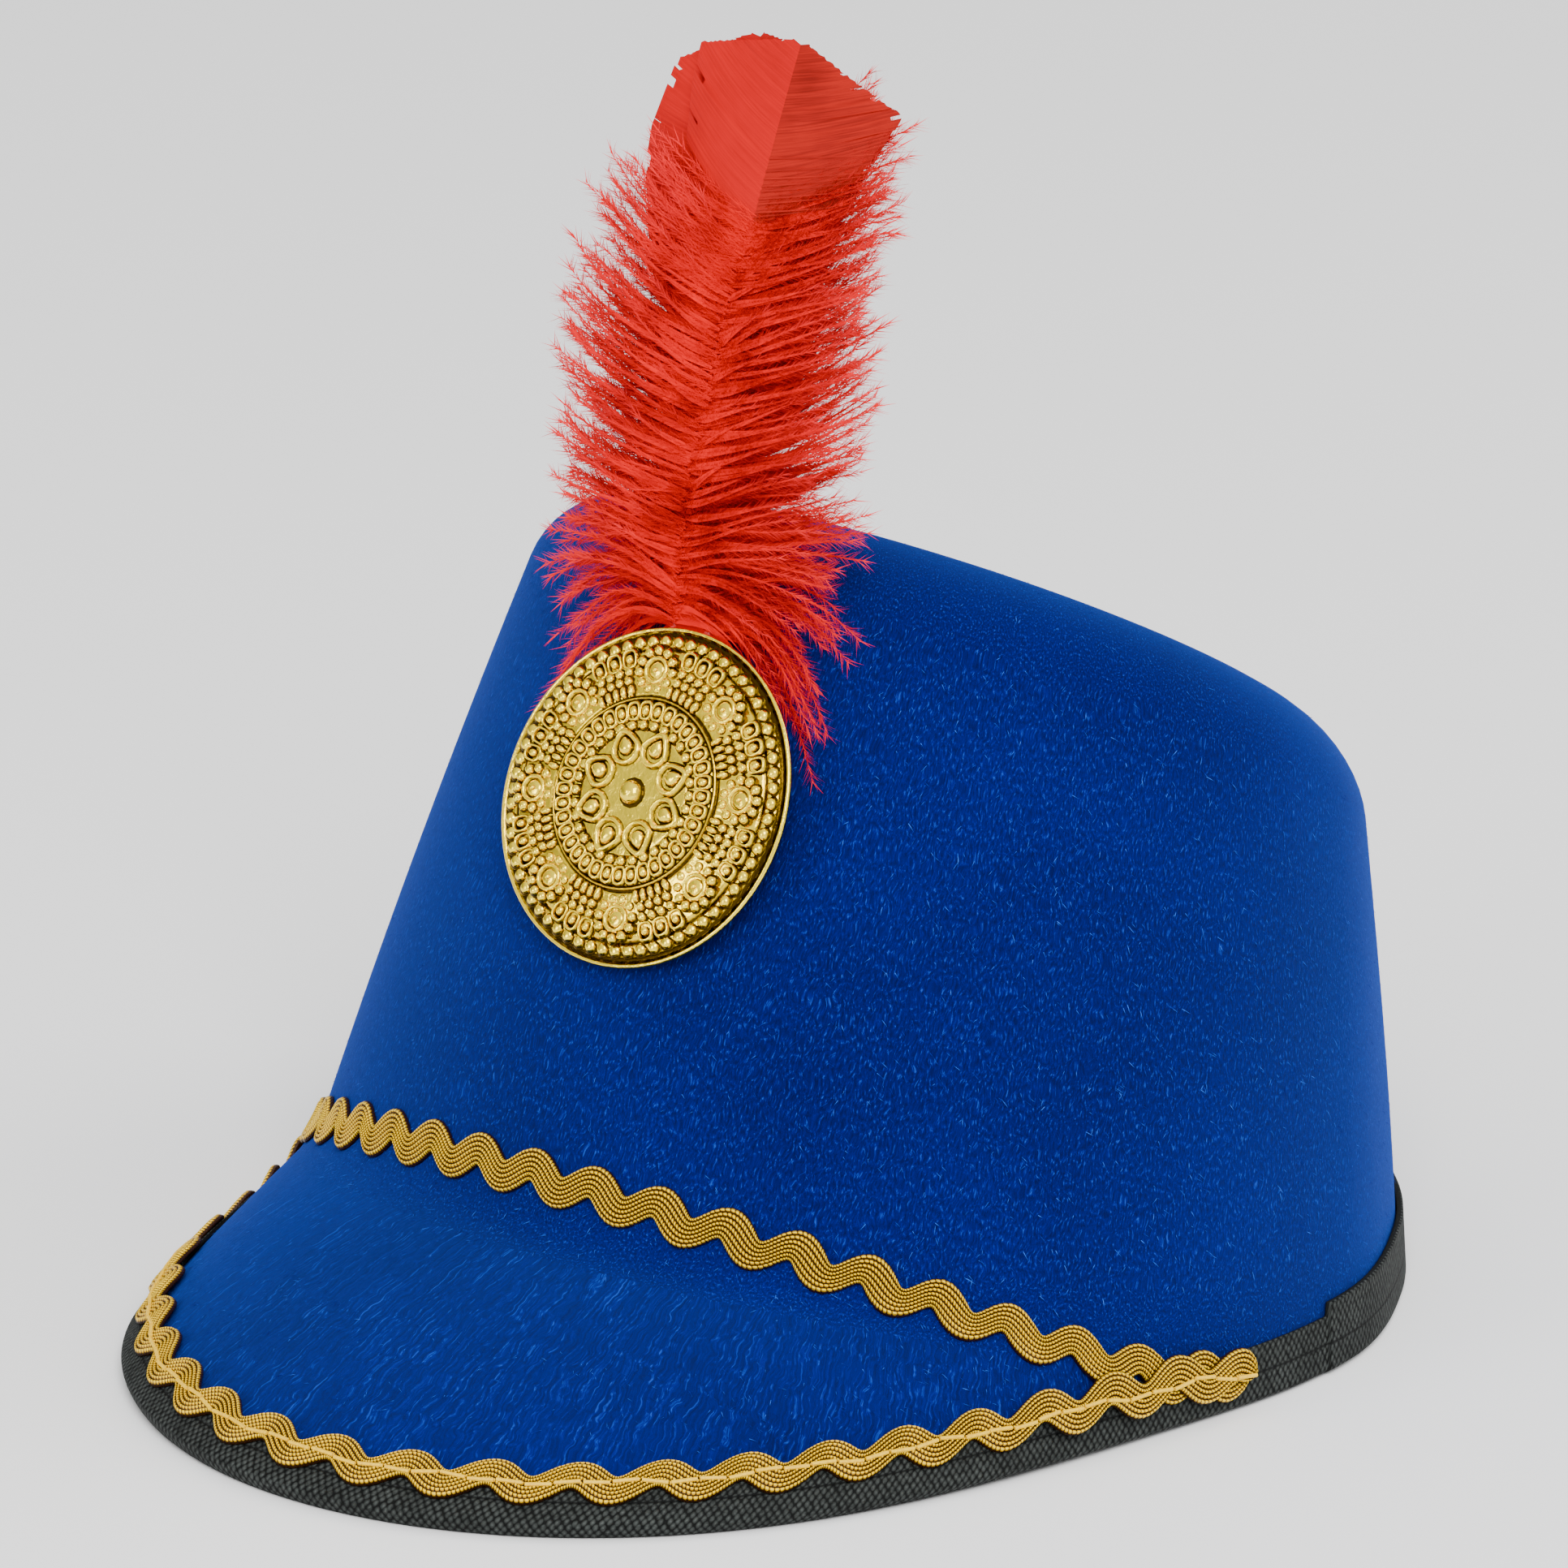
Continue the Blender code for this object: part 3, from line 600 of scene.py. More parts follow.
tapeLook = {
    "height": 0.0083,
    "thick": 0.0006,
    "lap": 0.0005,
    "lapRise": 0.0022,
    "lapStart": math.radians(91.5),
    "lapEnd": math.radians(136.0),
    "knobPitch": 0.00105,
    "seam": 0.0037,
    "dark": (0.0010, 0.0014, 0.0012),
    "grey": (0.060, 0.068, 0.064),
}


def tapeFinish():
    tape = Finish("darkTape", roughness=0.75, specular=0.12)
    uv = tape.add("ShaderNodeTexCoord", out=2)
    pitch = 1 / tapeLook["knobPitch"]
    stretched = tape.add("ShaderNodeMapping", {"Vector": uv, "Scale": (pitch * 1.1, pitch * 0.78, 1.0)})
    turned = tape.add("ShaderNodeMapping", {"Vector": stretched, "Rotation": (0, 0, math.radians(45))})
    cells = tape.add(
        "ShaderNodeTexVoronoi", {"Vector": turned, "Scale": 1.0, "Randomness": 0.22}, voronoi_dimensions="2D"
    )
    knob = tape.ramp(cells, ((0.08, (1, 1, 1)), (0.34, (0.55, 0.55, 0.55)), (0.55, (0, 0, 0))))
    fine = tape.add("ShaderNodeTexNoise", {"Vector": uv, "Scale": 1900.0, "Detail": 3.0})
    cloud = tape.add("ShaderNodeTexNoise", {"Vector": uv, "Scale": 160.0, "Detail": 2.0})
    speck = tape.math("MULTIPLY", knob, tape.math("MULTIPLY_ADD", fine, 1.5, tape.math("MULTIPLY_ADD", cloud, 0.9, -0.55)))
    colour = tape.mix(speck, tapeLook["dark"], tapeLook["grey"])
    rounds = tape.add("ShaderNodeAttribute", attribute_name="climb", out=2)
    groove = tape.math("ABSOLUTE", tape.math("SUBTRACT", rounds, tapeLook["seam"]))
    groove = tape.math("MINIMUM", tape.math("DIVIDE", groove, 0.00038), 1.0)
    height = tape.math("ADD", tape.math("MULTIPLY", knob, 0.8), tape.math("MULTIPLY", groove, 0.8))
    shaded = tape.mix(groove, (0.0015, 0.0018, 0.0018), colour)
    return tape.set(Base_Color=shaded, Normal=tape.bump(height, 0.9, 0.00035))


def tapeSection(lapped):
    # the fold's outline as (off the felt, up it, distance round the outline)
    outer, inner = hat["gap"] + hat["tape"], -(hat["felt"] + 2 * hat["gap"] + hat["tape"])
    height = tapeLook["height"] + (tapeLook["lapRise"] if lapped else 0)
    thick = tapeLook["thick"] + (tapeLook["lap"] if lapped else 0)
    outer = hat["gap"] + thick
    middle, half = (outer + inner) / 2, (outer - inner) / 2
    points = [(outer - 0.3 * thick, height), (outer - 0.06 * thick, height - 0.12 * thick)]
    points += [(outer, height * share) for share in (0.97, 0.85, 0.7, 0.55, 0.4, 0.25, 0.12, 0.0)]
    for step in range(1, 12):
        bend = math.pi * step / 12
        points.append((middle + half * math.cos(bend), -1.3e-3 * math.sin(bend) ** 0.7))
    points += [(inner, height * share) for share in (0.0, 0.3, 0.6, 0.95)]
    points += [(inner + 0.3 * hat["tape"], height), (inner + hat["tape"], height)]
    points += [(inner + hat["tape"], 0.0), (-hat["felt"] - 2 * hat["gap"], -hat["gap"])]
    points += [(hat["gap"], -hat["gap"]), (hat["gap"], height * 0.5), (hat["gap"], height)]
    return points


def buildTape(material):
    angles = list(np.linspace(-math.pi, math.pi, 300, endpoint=False))
    start, end, step = tapeLook["lapStart"], tapeLook["lapEnd"], math.radians(0.25)
    stations = [(a, start < a < end) for a in angles if abs(a - start) > step * 2 and abs(a - end) > step * 2]
    stations += [(start - step, False), (start, True), (end, True), (end + step, False)]
    stations.sort()
    verts, uvs, climbs = [], [], []
    run, before = 0.0, None
    for a, lapped in stations:
        section = tapeSection(lapped)
        rim, rimUp = onFelt(a, 0.0), onFelt(a, 0.0015)
        normal = unit(onFelt(a, 0.0, 0.001) - rim)
        up = unit(rimUp - rim)
        if before is not None:
            run += float(np.linalg.norm(rim - before))
        before = rim
        length, last = 0.0, None
        for off, climb in section:
            point = onFelt(a, climb, off) if climb > 0 else rim + normal * off + up * climb
            point[2] = max(point[2], 0.0)
            if last is not None:
                length += math.dist(last, (off, climb))
            last = (off, climb)
            verts.append(point + place)
            uvs.append((run, length))
            climbs.append(climb if off > 0 else 0.0)
    faces = gridFaces(len(stations), len(tapeSection(False)), True, True)
    piece = makeMesh("rimTape", verts, faces, material, uvs)
    addShade(piece, "climb", climbs)
    facesOutward(piece)
    return piece


darkTape = tapeFinish()
rimTape = finishPiece(buildTape(darkTape), "black_tape", "rim_tape")


# Ric-rac braid

braidLook = {
    "width": 0.0055,
    "thick": 0.0013,
    "swing": 0.00165,
    "flare": 0.45,
    "cords": 7,
    "upperHeight": 0.0355,
    "lowerClimb": 0.0066,
    "joinHeight": 0.0076,
    "endDrop": 0.0020,
    "farDrop": 0.0026,
    "farSpan": (math.radians(31.0), math.radians(44.0), math.radians(58.0), math.radians(69.0)),
    "joinAngle": math.radians(70.0),
    "end": math.radians(79.0),
    "endRound": 0.0030,
    "overlap": (math.radians(50.0), math.radians(56.0)),
    "step": 0.00052,
    "pointsPerCord": 4,
    # bright paints a highlight on the crests of cords and beads; the last, darkest colour paints the shade between
    # the cords
    "bright": (1.0, 0.67, 0.004),
    "gold": (0.74, 0.39, 0.002),
    "paintedGrooveShade": (0.030, 0.008, 0.0004),
}
# waves of each row, and how far along one it starts, counted from the row's far end
braidRows = {
    "upper": {"perMetre": 82.86, "start": -5.590},
    "lower": {"perMetre": 74.24, "start": -9.243},
}


def braidFinish():
    gold = Finish("goldThread", roughness=0.36, metallic=0.35, specular=0.35)
    uv = gold.add("ShaderNodeTexCoord", out=2)
    parts = gold.nodes.new("ShaderNodeSeparateXYZ")
    gold.links.new(uv, parts.inputs[0])
    along, across = parts.outputs[0], parts.outputs[1]
    ridge = gold.math("ABSOLUTE", gold.math("SINE", gold.math("MULTIPLY", across, math.pi)))
    cordNumber = gold.math("FLOOR", across)
    shifted = gold.math("ADD", gold.math("DIVIDE", along, 0.00062), gold.math("MULTIPLY", cordNumber, 0.37))
    slanted = gold.math("ADD", shifted, gold.math("MULTIPLY", across, 0.35))
    bead = gold.math("ABSOLUTE", gold.math("SINE", gold.math("MULTIPLY", slanted, math.pi)))
    waver = gold.add("ShaderNodeTexNoise", {"Vector": uv, "Scale": 700.0, "Detail": 2.0})
    tone = gold.math("MULTIPLY", gold.math("POWER", ridge, 1.3), gold.math("POWER", bead, 0.7))
    tone = gold.math("ADD", tone, gold.math("MULTIPLY", gold.math("SUBTRACT", waver, 0.5), 0.55))
    # tone is high on the crests of cords and beads and low between them, so the ramp paints highlight on the crests
    # and shade in the grooves
    colour = gold.ramp(
        tone,
        ((0.20, braidLook["paintedGrooveShade"]), (0.46, braidLook["gold"]), (0.74, braidLook["bright"])),
    )
    height = gold.math("MULTIPLY", gold.math("POWER", bead, 0.6), gold.math("MULTIPLY_ADD", ridge, 0.7, 0.3))
    return gold.set(Base_Color=colour, Normal=gold.bump(height, 1.0, 0.00032))


def upperClimb(a):
    share = np.cos(np.minimum(np.abs(a) / braidLook["joinAngle"], 1) * math.pi / 2)
    return climbAtHeight(a, braidLook["joinHeight"] + (braidLook["upperHeight"] - braidLook["joinHeight"]) * share)


def lowerClimb(a):
    join = climbAtHeight(a, braidLook["joinHeight"])
    climb = join + (braidLook["lowerClimb"] - join) * (1 - smoothStep(np.abs(a) / braidLook["joinAngle"]))
    # on the far side it is sewn lower, where the felt hides it
    start, full, fade, end = braidLook["farSpan"]
    hidden = smoothStep((-a - start) / (full - start)) * smoothStep((end + a) / (end - fade))
    return climb - braidLook["farDrop"] * hidden


def upperLift(a, climb):
    overTape = 1 - smoothStep((climb - tapeLook["height"] - hat["gap"] * 3) / braidLook["width"])
    return hat["gap"] * 0.6 + (tapeLook["thick"] + hat["gap"]) * overTape


def lowerLift(a, climb):
    start, end = braidLook["overlap"]
    overOther = smoothStep((np.abs(a) - start) / (end - start))
    return upperLift(a, climb) + (braidLook["thick"] * 0.8) * overOther


def braidPath(climbOf):
    angles = np.linspace(-braidLook["end"], braidLook["end"], 801)
    climbs = climbOf(angles)
    climbs = np.convolve(np.pad(climbs, 4, "edge"), np.ones(9) / 9, "valid")
    fromJoin = (np.abs(angles) - braidLook["joinAngle"]) / (braidLook["end"] - braidLook["joinAngle"])
    climbs = climbs - braidLook["endDrop"] * smoothStep(fromJoin)
    line = onFelt(angles, climbs)
    runs = np.concatenate([[0], np.cumsum(np.linalg.norm(np.diff(line, axis=0), axis=-1))])
    return angles, climbs, runs


def buildBraid(name, row, climbOf, liftOf, material):
    angles, climbs, runs = braidPath(climbOf)
    count = round(runs[-1] / braidLook["step"]) + 1
    run = np.linspace(0, runs[-1], count)
    angle, climb = np.interp(run, runs, angles), np.interp(run, runs, climbs)
    perMetre = np.gradient(angle, run)
    swings = math.tau * row["perMetre"]
    phase = swings * run + math.tau * row["start"]
    tilt = braidLook["flare"] * braidLook["swing"] * swings * np.sin(phase)
    acrossRun, acrossClimb = tilt / np.hypot(tilt, 1), 1 / np.hypot(tilt, 1)
    cords, fine = braidLook["cords"], braidLook["pointsPerCord"]
    shares = np.linspace(-1, 1, cords * fine + 1)
    cordShare = (shares + 1) / 2 * cords
    ridge = np.abs(np.sin(math.pi * cordShare))
    edge = np.sqrt(np.clip(1 - np.abs(shares) ** 6, 0, 1))
    heights = braidLook["thick"] * (0.25 + 0.75 * edge * (0.42 + 0.58 * ridge))
    profile = [(s, h, c) for s, h, c in zip(shares, heights, cordShare)]
    profile += [(1.0, 0.0, cords), (0.5, 0.0, cords), (0.0, 0.0, cords), (-0.5, 0.0, 0.0), (-1.0, 0.0, 0.0)]
    side = np.array([p[0] for p in profile])
    high = np.array([p[1] for p in profile])
    # the ends are trimmed round, and the edge of the strip is scalloped by its cross threads
    toEnd = np.minimum(run, runs[-1] - run) / braidLook["endRound"]
    narrowed = np.sqrt(np.clip(1 - (1 - np.minimum(toEnd, 1)) ** 2, 0.02, 1))
    scallop = 1 + 0.03 * np.abs(np.sin(math.pi * run / 0.0011))
    half = braidLook["width"] / 2 * narrowed * scallop
    at = angle[:, None] + acrossRun[:, None] * side * half[:, None] * perMetre[:, None]
    up = climb + braidLook["swing"] * np.cos(phase)
    up = up[:, None] + acrossClimb[:, None] * side * half[:, None]
    base = liftOf(at, up)
    verts = onFelt(at, up, base + high)
    middle = verts[:, cords * fine // 2]
    along = np.concatenate([[0], np.cumsum(np.linalg.norm(np.diff(middle, axis=0), axis=-1))])
    uvs = np.stack(np.broadcast_arrays(along[:, None], np.array([p[2] for p in profile])), -1).reshape(-1, 2)
    width = len(profile)
    faces = gridFaces(count, width, closedColumns=True)
    faces.append(tuple(range(width)))
    faces.append(tuple(range((count - 1) * width, count * width))[::-1])
    piece = makeMesh(name, verts.reshape(-1, 3) + place, faces, material, uvs)
    facesOutward(piece)
    return piece


goldThread = braidFinish()
upperBraid = buildBraid("upperBraid", braidRows["upper"], upperClimb, upperLift, goldThread)
finishPiece(upperBraid, "gold_thread", "braid_upper")
lowerBraid = buildBraid("lowerBraid", braidRows["lower"], lowerClimb, lowerLift, goldThread)
finishPiece(lowerBraid, "gold_thread", "braid_lower")


# Stitches that hold the braid

stitchLook = {
    "long": 0.0042,
    "gap": 0.0004,
    "radius": 0.00034,
    "below": 0.0005,
    "yellow": (0.90, 0.57, 0.0),
}


def stitchTree(material):
    # stitches lie end to end along a line, each a small bent rod
    tree = Tree(
        "runningStitch",
        {"Pitch": ("Float", 0.0036), "Long": ("Float", 0.0026), "Radius": ("Float", 0.0002)},
    )
    line = tree.node("GeometryNodeMeshToCurve", {"Mesh": tree.get("Geometry")})
    spots = tree.node("GeometryNodeCurveToPoints", {"Curve": line.outputs[0], "Length": tree.get("Pitch")}, mode="LENGTH")
    rod = tree.node("GeometryNodeMeshCylinder", {"Vertices": 6, "Side Segments": 4, "Radius": tree.get("Radius"), "Depth": tree.get("Long")})
    laid = tree.node(
        "GeometryNodeInstanceOnPoints",
        {"Points": spots.outputs[0], "Instance": rod.outputs[0], "Rotation": spots.outputs["Rotation"]},
    )
    tree.close(laid.outputs[0], material)
    return tree


def buildStitches(material):
    angles, climbs, runs = braidPath(lowerClimb)
    inside = (runs > 0.004) & (runs < runs[-1] - 0.002)
    wander = 0.0003 * np.sin(runs * 230) + 0.0002 * np.sin(runs * 611)
    angles, climbs = angles[inside], (climbs - stitchLook["below"] + wander)[inside]
    line = onFelt(angles, climbs, lowerLift(angles, climbs) + braidLook["thick"] * 0.97) + place
    carrier = bpy.data.meshes.new("stitchLine")
    carrier.from_pydata([tuple(v) for v in line], [(i, i + 1) for i in range(len(line) - 1)], [])
    carrierObject = bpy.data.objects.new("stitchLine", carrier)
    bpy.context.scene.collection.objects.link(carrierObject)
    settings = {
        "Pitch": stitchLook["long"] + stitchLook["gap"],
        "Long": stitchLook["long"],
        "Radius": stitchLook["radius"],
    }
    piece = runTree(stitchTree(material), carrierObject, settings, "braidStitches", material)
    removeObject(carrierObject)
    return piece


def threadFinish():
    thread = Finish("yellowThread", roughness=0.5, specular=0.4)
    spot = thread.add("ShaderNodeTexCoord", out=3)
    twist = thread.add("ShaderNodeTexNoise", {"Vector": spot, "Scale": 2500.0, "Detail": 1.0})
    colour = thread.ramp(twist, ((0.30, (0.75, 0.42, 0.0)), (0.6, stitchLook["yellow"])))
    return thread.set(Base_Color=colour, Normal=thread.bump(twist, 0.5, 0.0001))


stitches = finishPiece(buildStitches(threadFinish()), "gold_thread")


# Stamped medallion

medallion = {
    "centre": (-0.000387, -0.028360, 0.094090),
    "tilt": math.radians(26.2),
    "radius": 0.0286,
    "lip": 0.0017,
    "metal": 0.0009,
    "rise": 0.0002,
    "dome": 0.0031,
    "fall": 3.2,
    "turn": math.radians(9.2),
    "steps": 144,
    "gold": (1.0, 0.74, 0.035),
    "shade": (0.60, 0.37, 0.008),
    # the darkest colour is painted shade for the hollows at the ornaments' feet and in the grooves
    "paintedHollowShade": (0.050, 0.026, 0.001),
}
# rings of ornament: shape, how many, at what radius, its size (along the radius, across, high), its turn in
# degrees, and how many stand together between two rosettes
ornaments = (
    ("bead", 64, 25.85, (1.16, 1.12, 0.95), 0.0, 1),
    ("bead", 8, 20.8, (1.60, 1.60, 0.55), 0.0, 1),
    ("bead", 8, 20.8, (0.50, 0.50, 1.1), 0.0, 1),
    ("loop", 8, 20.8, (2.05, 2.05, 0.85), 0.0, 1),
    ("frame", 24, 23.25, (1.50, 1.22, 0.85), 7.6, 3),
    ("bead", 24, 23.2, (0.88, 0.72, 1.05), 7.6, 3),
    ("bead", 32, 20.9, (0.86, 0.84, 1.05), 5.2, 4),
    ("bead", 32, 19.2, (0.82, 0.80, 1.05), 5.2, 4),
    ("bead", 40, 17.4, (1.15, 0.60, 1.05), 4.9, 5),
    ("frame", 36, 13.8, (1.42, 1.05, 0.70), 0.0, 1),
    ("bead", 36, 13.8, (0.95, 0.72, 0.95), 0.0, 1),
    ("bead", 32, 11.35, (0.85, 0.88, 0.85), 0.0, 1),
    ("petal", 8, 7.75, (2.45, 2.45, 1.0), 19.5, 1),
    ("drop", 8, 8.0, (1.45, 1.35, 1.0), 19.5, 1),
    ("bead", 1, 0.0, (2.15, 2.15, 1.85), 0.0, 1),
)


def fieldHeight(radius):
    edge = medallion["radius"] - medallion["lip"]
    share = 1 - (radius / edge) ** medallion["fall"]
    return medallion["metal"] + medallion["rise"] + medallion["dome"] * share


def ornamentShape(kind):
    # low meshes of unit size, with a few dozen faces each; shade is painted shade, dark at each foot and full gold on
    # the raised metal
    verts, faces, shade = [], [], []
    if kind in ("bead", "drop"):
        count = 12
        rings = (
            (1.30, -0.02, 0.40),
            (1.16, 0.03, 0.02),
            (0.98, 0.12, 0.04),
            (0.90, 0.52, 0.62),
            (0.68, 0.84, 0.95),
            (0.34, 0.97, 1.0),
        )
        for r, z, tone in rings:
            for k in range(count):
                turn = math.tau * k / count
                x, y = r * math.cos(turn), r * math.sin(turn)
                if kind == "drop" and x > 0:
                    # drawn out to a point at the outer side
                    x, y = x * 1.3, y * (1 - 0.5 * math.cos(turn) ** 2)
                verts.append((x, y, z))
                shade.append(tone)
        verts.append((0, 0, 1))
        shade.append(1.0)
        last = len(rings) - 1
        faces = gridFaces(len(rings), count, closedColumns=True)
        faces += [(last * count + k, last * count + (k + 1) % count, len(verts) - 1) for k in range(count)]
        faces.append(tuple(range(count))[::-1])
    else:
        count = 20
        section = (
            (-0.38, -0.05, 0.30),
            (-0.24, 0.05, 0.02),
            (-0.14, 0.70, 0.75),
            (0.0, 1.0, 1.0),
            (0.14, 0.70, 0.75),
            (0.24, 0.05, 0.02),
            (0.36, -0.05, 0.30),
        )
        for k in range(count):
            turn = math.tau * k / count
            x, y = math.cos(turn), math.sin(turn)
            if kind == "frame":
                # a rounded oblong
                reach = (abs(x) ** 3.2 + abs(y) ** 3.2) ** (-1 / 3.2)
                x, y = x * reach, y * reach
            if kind == "petal":
                # round towards the middle, drawn out to a point at the outer side
                x = x * (1.22 if x > 0 else 1.0)
                y = y * (1 - 0.45 * max(math.cos(turn), 0))
            verts += [(x * (1 + wide), y * (1 + wide), z) for wide, z, tone in section]
            shade += [tone for wide, z, tone in section]
        faces = gridFaces(count, len(section), closedRows=True, closedColumns=True)
    made = makeMesh(kind, verts, faces, goldMetal)
    addShade(made, "shade", shade)
    facesOutward(made)
    return made


def ringTree(material):
    tree = Tree(
        "ringOfOrnament",
        {
            "Count": ("Int", 8),
            "Radius": ("Float", 0.01),
            "Turn": ("Float", 0.0),
            "Group": ("Int", 1),
            "Spread": ("Float", 0.0),
            "Height": ("Float", 0.0),
            "Size": ("Vector", (0.001, 0.001, 0.001)),
            "Shape": ("Object", None),
        },
    )
    points = tree.node("GeometryNodePoints", {"Count": tree.get("Count")})
    index = tree.node("GeometryNodeInputIndex").outputs[0]

    def sums(operation, first, second):
        return tree.node("ShaderNodeMath", {0: first, 1: second}, operation=operation).outputs[0]

    group = sums("FLOOR", sums("DIVIDE", index, tree.get("Group")), 0.0)
    within = sums("SUBTRACT", index, sums("MULTIPLY", group, tree.get("Group")))
    centred = sums("SUBTRACT", within, sums("MULTIPLY", sums("SUBTRACT", tree.get("Group"), 1.0), 0.5))
    groups = sums("DIVIDE", tree.get("Count"), tree.get("Group"))
    step = sums("DIVIDE", math.tau, groups)
    angle = sums("ADD", sums("MULTIPLY", group, step), sums("MULTIPLY", centred, tree.get("Spread")))
    angle = sums("ADD", angle, tree.get("Turn"))
    x = sums("MULTIPLY", tree.get("Radius"), sums("COSINE", angle, 0.0))
    y = sums("MULTIPLY", tree.get("Radius"), sums("SINE", angle, 0.0))
    spot = tree.node("ShaderNodeCombineXYZ", {"X": x, "Y": y, "Z": tree.get("Height")})
    placed = tree.node("GeometryNodeSetPosition", {"Geometry": points.outputs[0], "Position": spot.outputs[0]})
    turn = tree.node("ShaderNodeCombineXYZ", {"Z": angle})
    rotation = tree.node("FunctionNodeEulerToRotation", {0: turn.outputs[0]})
    shape = tree.node("GeometryNodeObjectInfo", {"Object": tree.get("Shape")})
    ring = tree.node(
        "GeometryNodeInstanceOnPoints",
        {
            "Points": placed.outputs[0],
            "Instance": shape.outputs["Geometry"],
            "Rotation": rotation.outputs[0],
            "Scale": tree.get("Size"),
        },
    )
    tree.close(ring.outputs[0], material)
    return tree


def medallionPlace():
    tilt = medallion["tilt"]
    side = Vector((1, 0, 0))
    up = Vector((0, math.sin(tilt), math.cos(tilt)))
    out = Vector((0, -math.cos(tilt), math.sin(tilt)))
    turn = Matrix((side, up, out)).transposed().to_4x4()
    return Matrix.Translation(medallion["centre"]) @ turn


def plateRadii():
    # the plate's face from its middle outwards as (radius, height, shade), grooved between the rings; shade is
    # painted shade, dark in the grooves and a little darker on the outer field than in the middle
    edge = (medallion["radius"] - medallion["lip"]) * 1000
    grooves = ((24.6, 0.30, 0.32), (15.55, 0.35, 0.26), (16.35, 0.35, 0.26), (12.5, 0.30, 0.22), (10.75, 0.30, 0.22))
    face = []
    for r in np.concatenate([np.linspace(0, edge - 0.4, 150), [edge - 0.2, edge - 0.06, edge]]):
        z = fieldHeight(r / 1000) * 1000
        deep = sum(depth * math.exp(-(((r - line) / width) ** 2)) for line, depth, width in grooves)
        rim = smoothStep((r - (edge - 0.4)) / 0.4)
        z -= deep + 0.15 * rim
        z += 0.5 * math.exp(-(((r - 15.95) / 0.28) ** 2))
        field = 0.80 if r > 5.2 else 0.98
        face.append((r / 1000, z / 1000, max(field - deep * 2.6 - 0.7 * rim, 0.0)))
    metal, edge = medallion["metal"], edge / 1000
    radius = medallion["radius"]
    # the lip's shade is painted shade: dark in its inner channel, bright along its raised edge
    lip = [
        (edge + 0.00012, metal * 0.62, 0.02),
        (radius - 0.0010, metal * 0.58, 0.12),
        (radius - 0.0007, metal * 0.80, 0.55),
        (radius - 0.0004, metal * 1.12, 1.0),
        (radius - 0.00006, metal * 0.85, 0.9),
        (radius, metal * 0.5, 0.8),
        (radius - 0.0001, metal * 0.1, 0.7),
        (radius - 0.0004, 0.0, 0.6),
        (edge - metal * 0.6, 0.0, 0.5),
    ]
    shares = (0.97, 0.8, 0.5, 0.2, 0.0)
    under = [(edge * share * 0.96, fieldHeight(edge * share) - metal, 0.5) for share in shares]
    return face + lip + under


def goldFinish():
    gold = Finish("goldMetal", roughness=0.2, metallic=1.0)
    spot = gold.add("ShaderNodeTexCoord", out=3)
    cloud = gold.add("ShaderNodeTexNoise", {"Vector": spot, "Scale": 420.0, "Detail": 3.0})
    tiny = gold.add("ShaderNodeTexNoise", {"Vector": spot, "Scale": 1500.0, "Detail": 2.0})
    shade = gold.add("ShaderNodeAttribute", attribute_name="shade", out=2)
    tone = gold.math("ADD", shade, gold.math("MULTIPLY", gold.math("SUBTRACT", tiny, 0.5), 0.35))
    # the colour follows the painted shade: the dark colour at the feet and in the grooves, gold on the raised metal,
    # with a little random variation
    colour = gold.ramp(
        tone,
        ((0.14, medallion["paintedHollowShade"]), (0.50, medallion["shade"]), (0.88, medallion["gold"])),
    )
    rough = gold.math("MULTIPLY_ADD", cloud, 0.16, 0.10)
    wavy = gold.math("ADD", cloud, gold.math("MULTIPLY", tiny, 0.35))
    return gold.set(Base_Color=colour, Roughness=rough, Normal=gold.bump(wavy, 0.45, 0.0004))


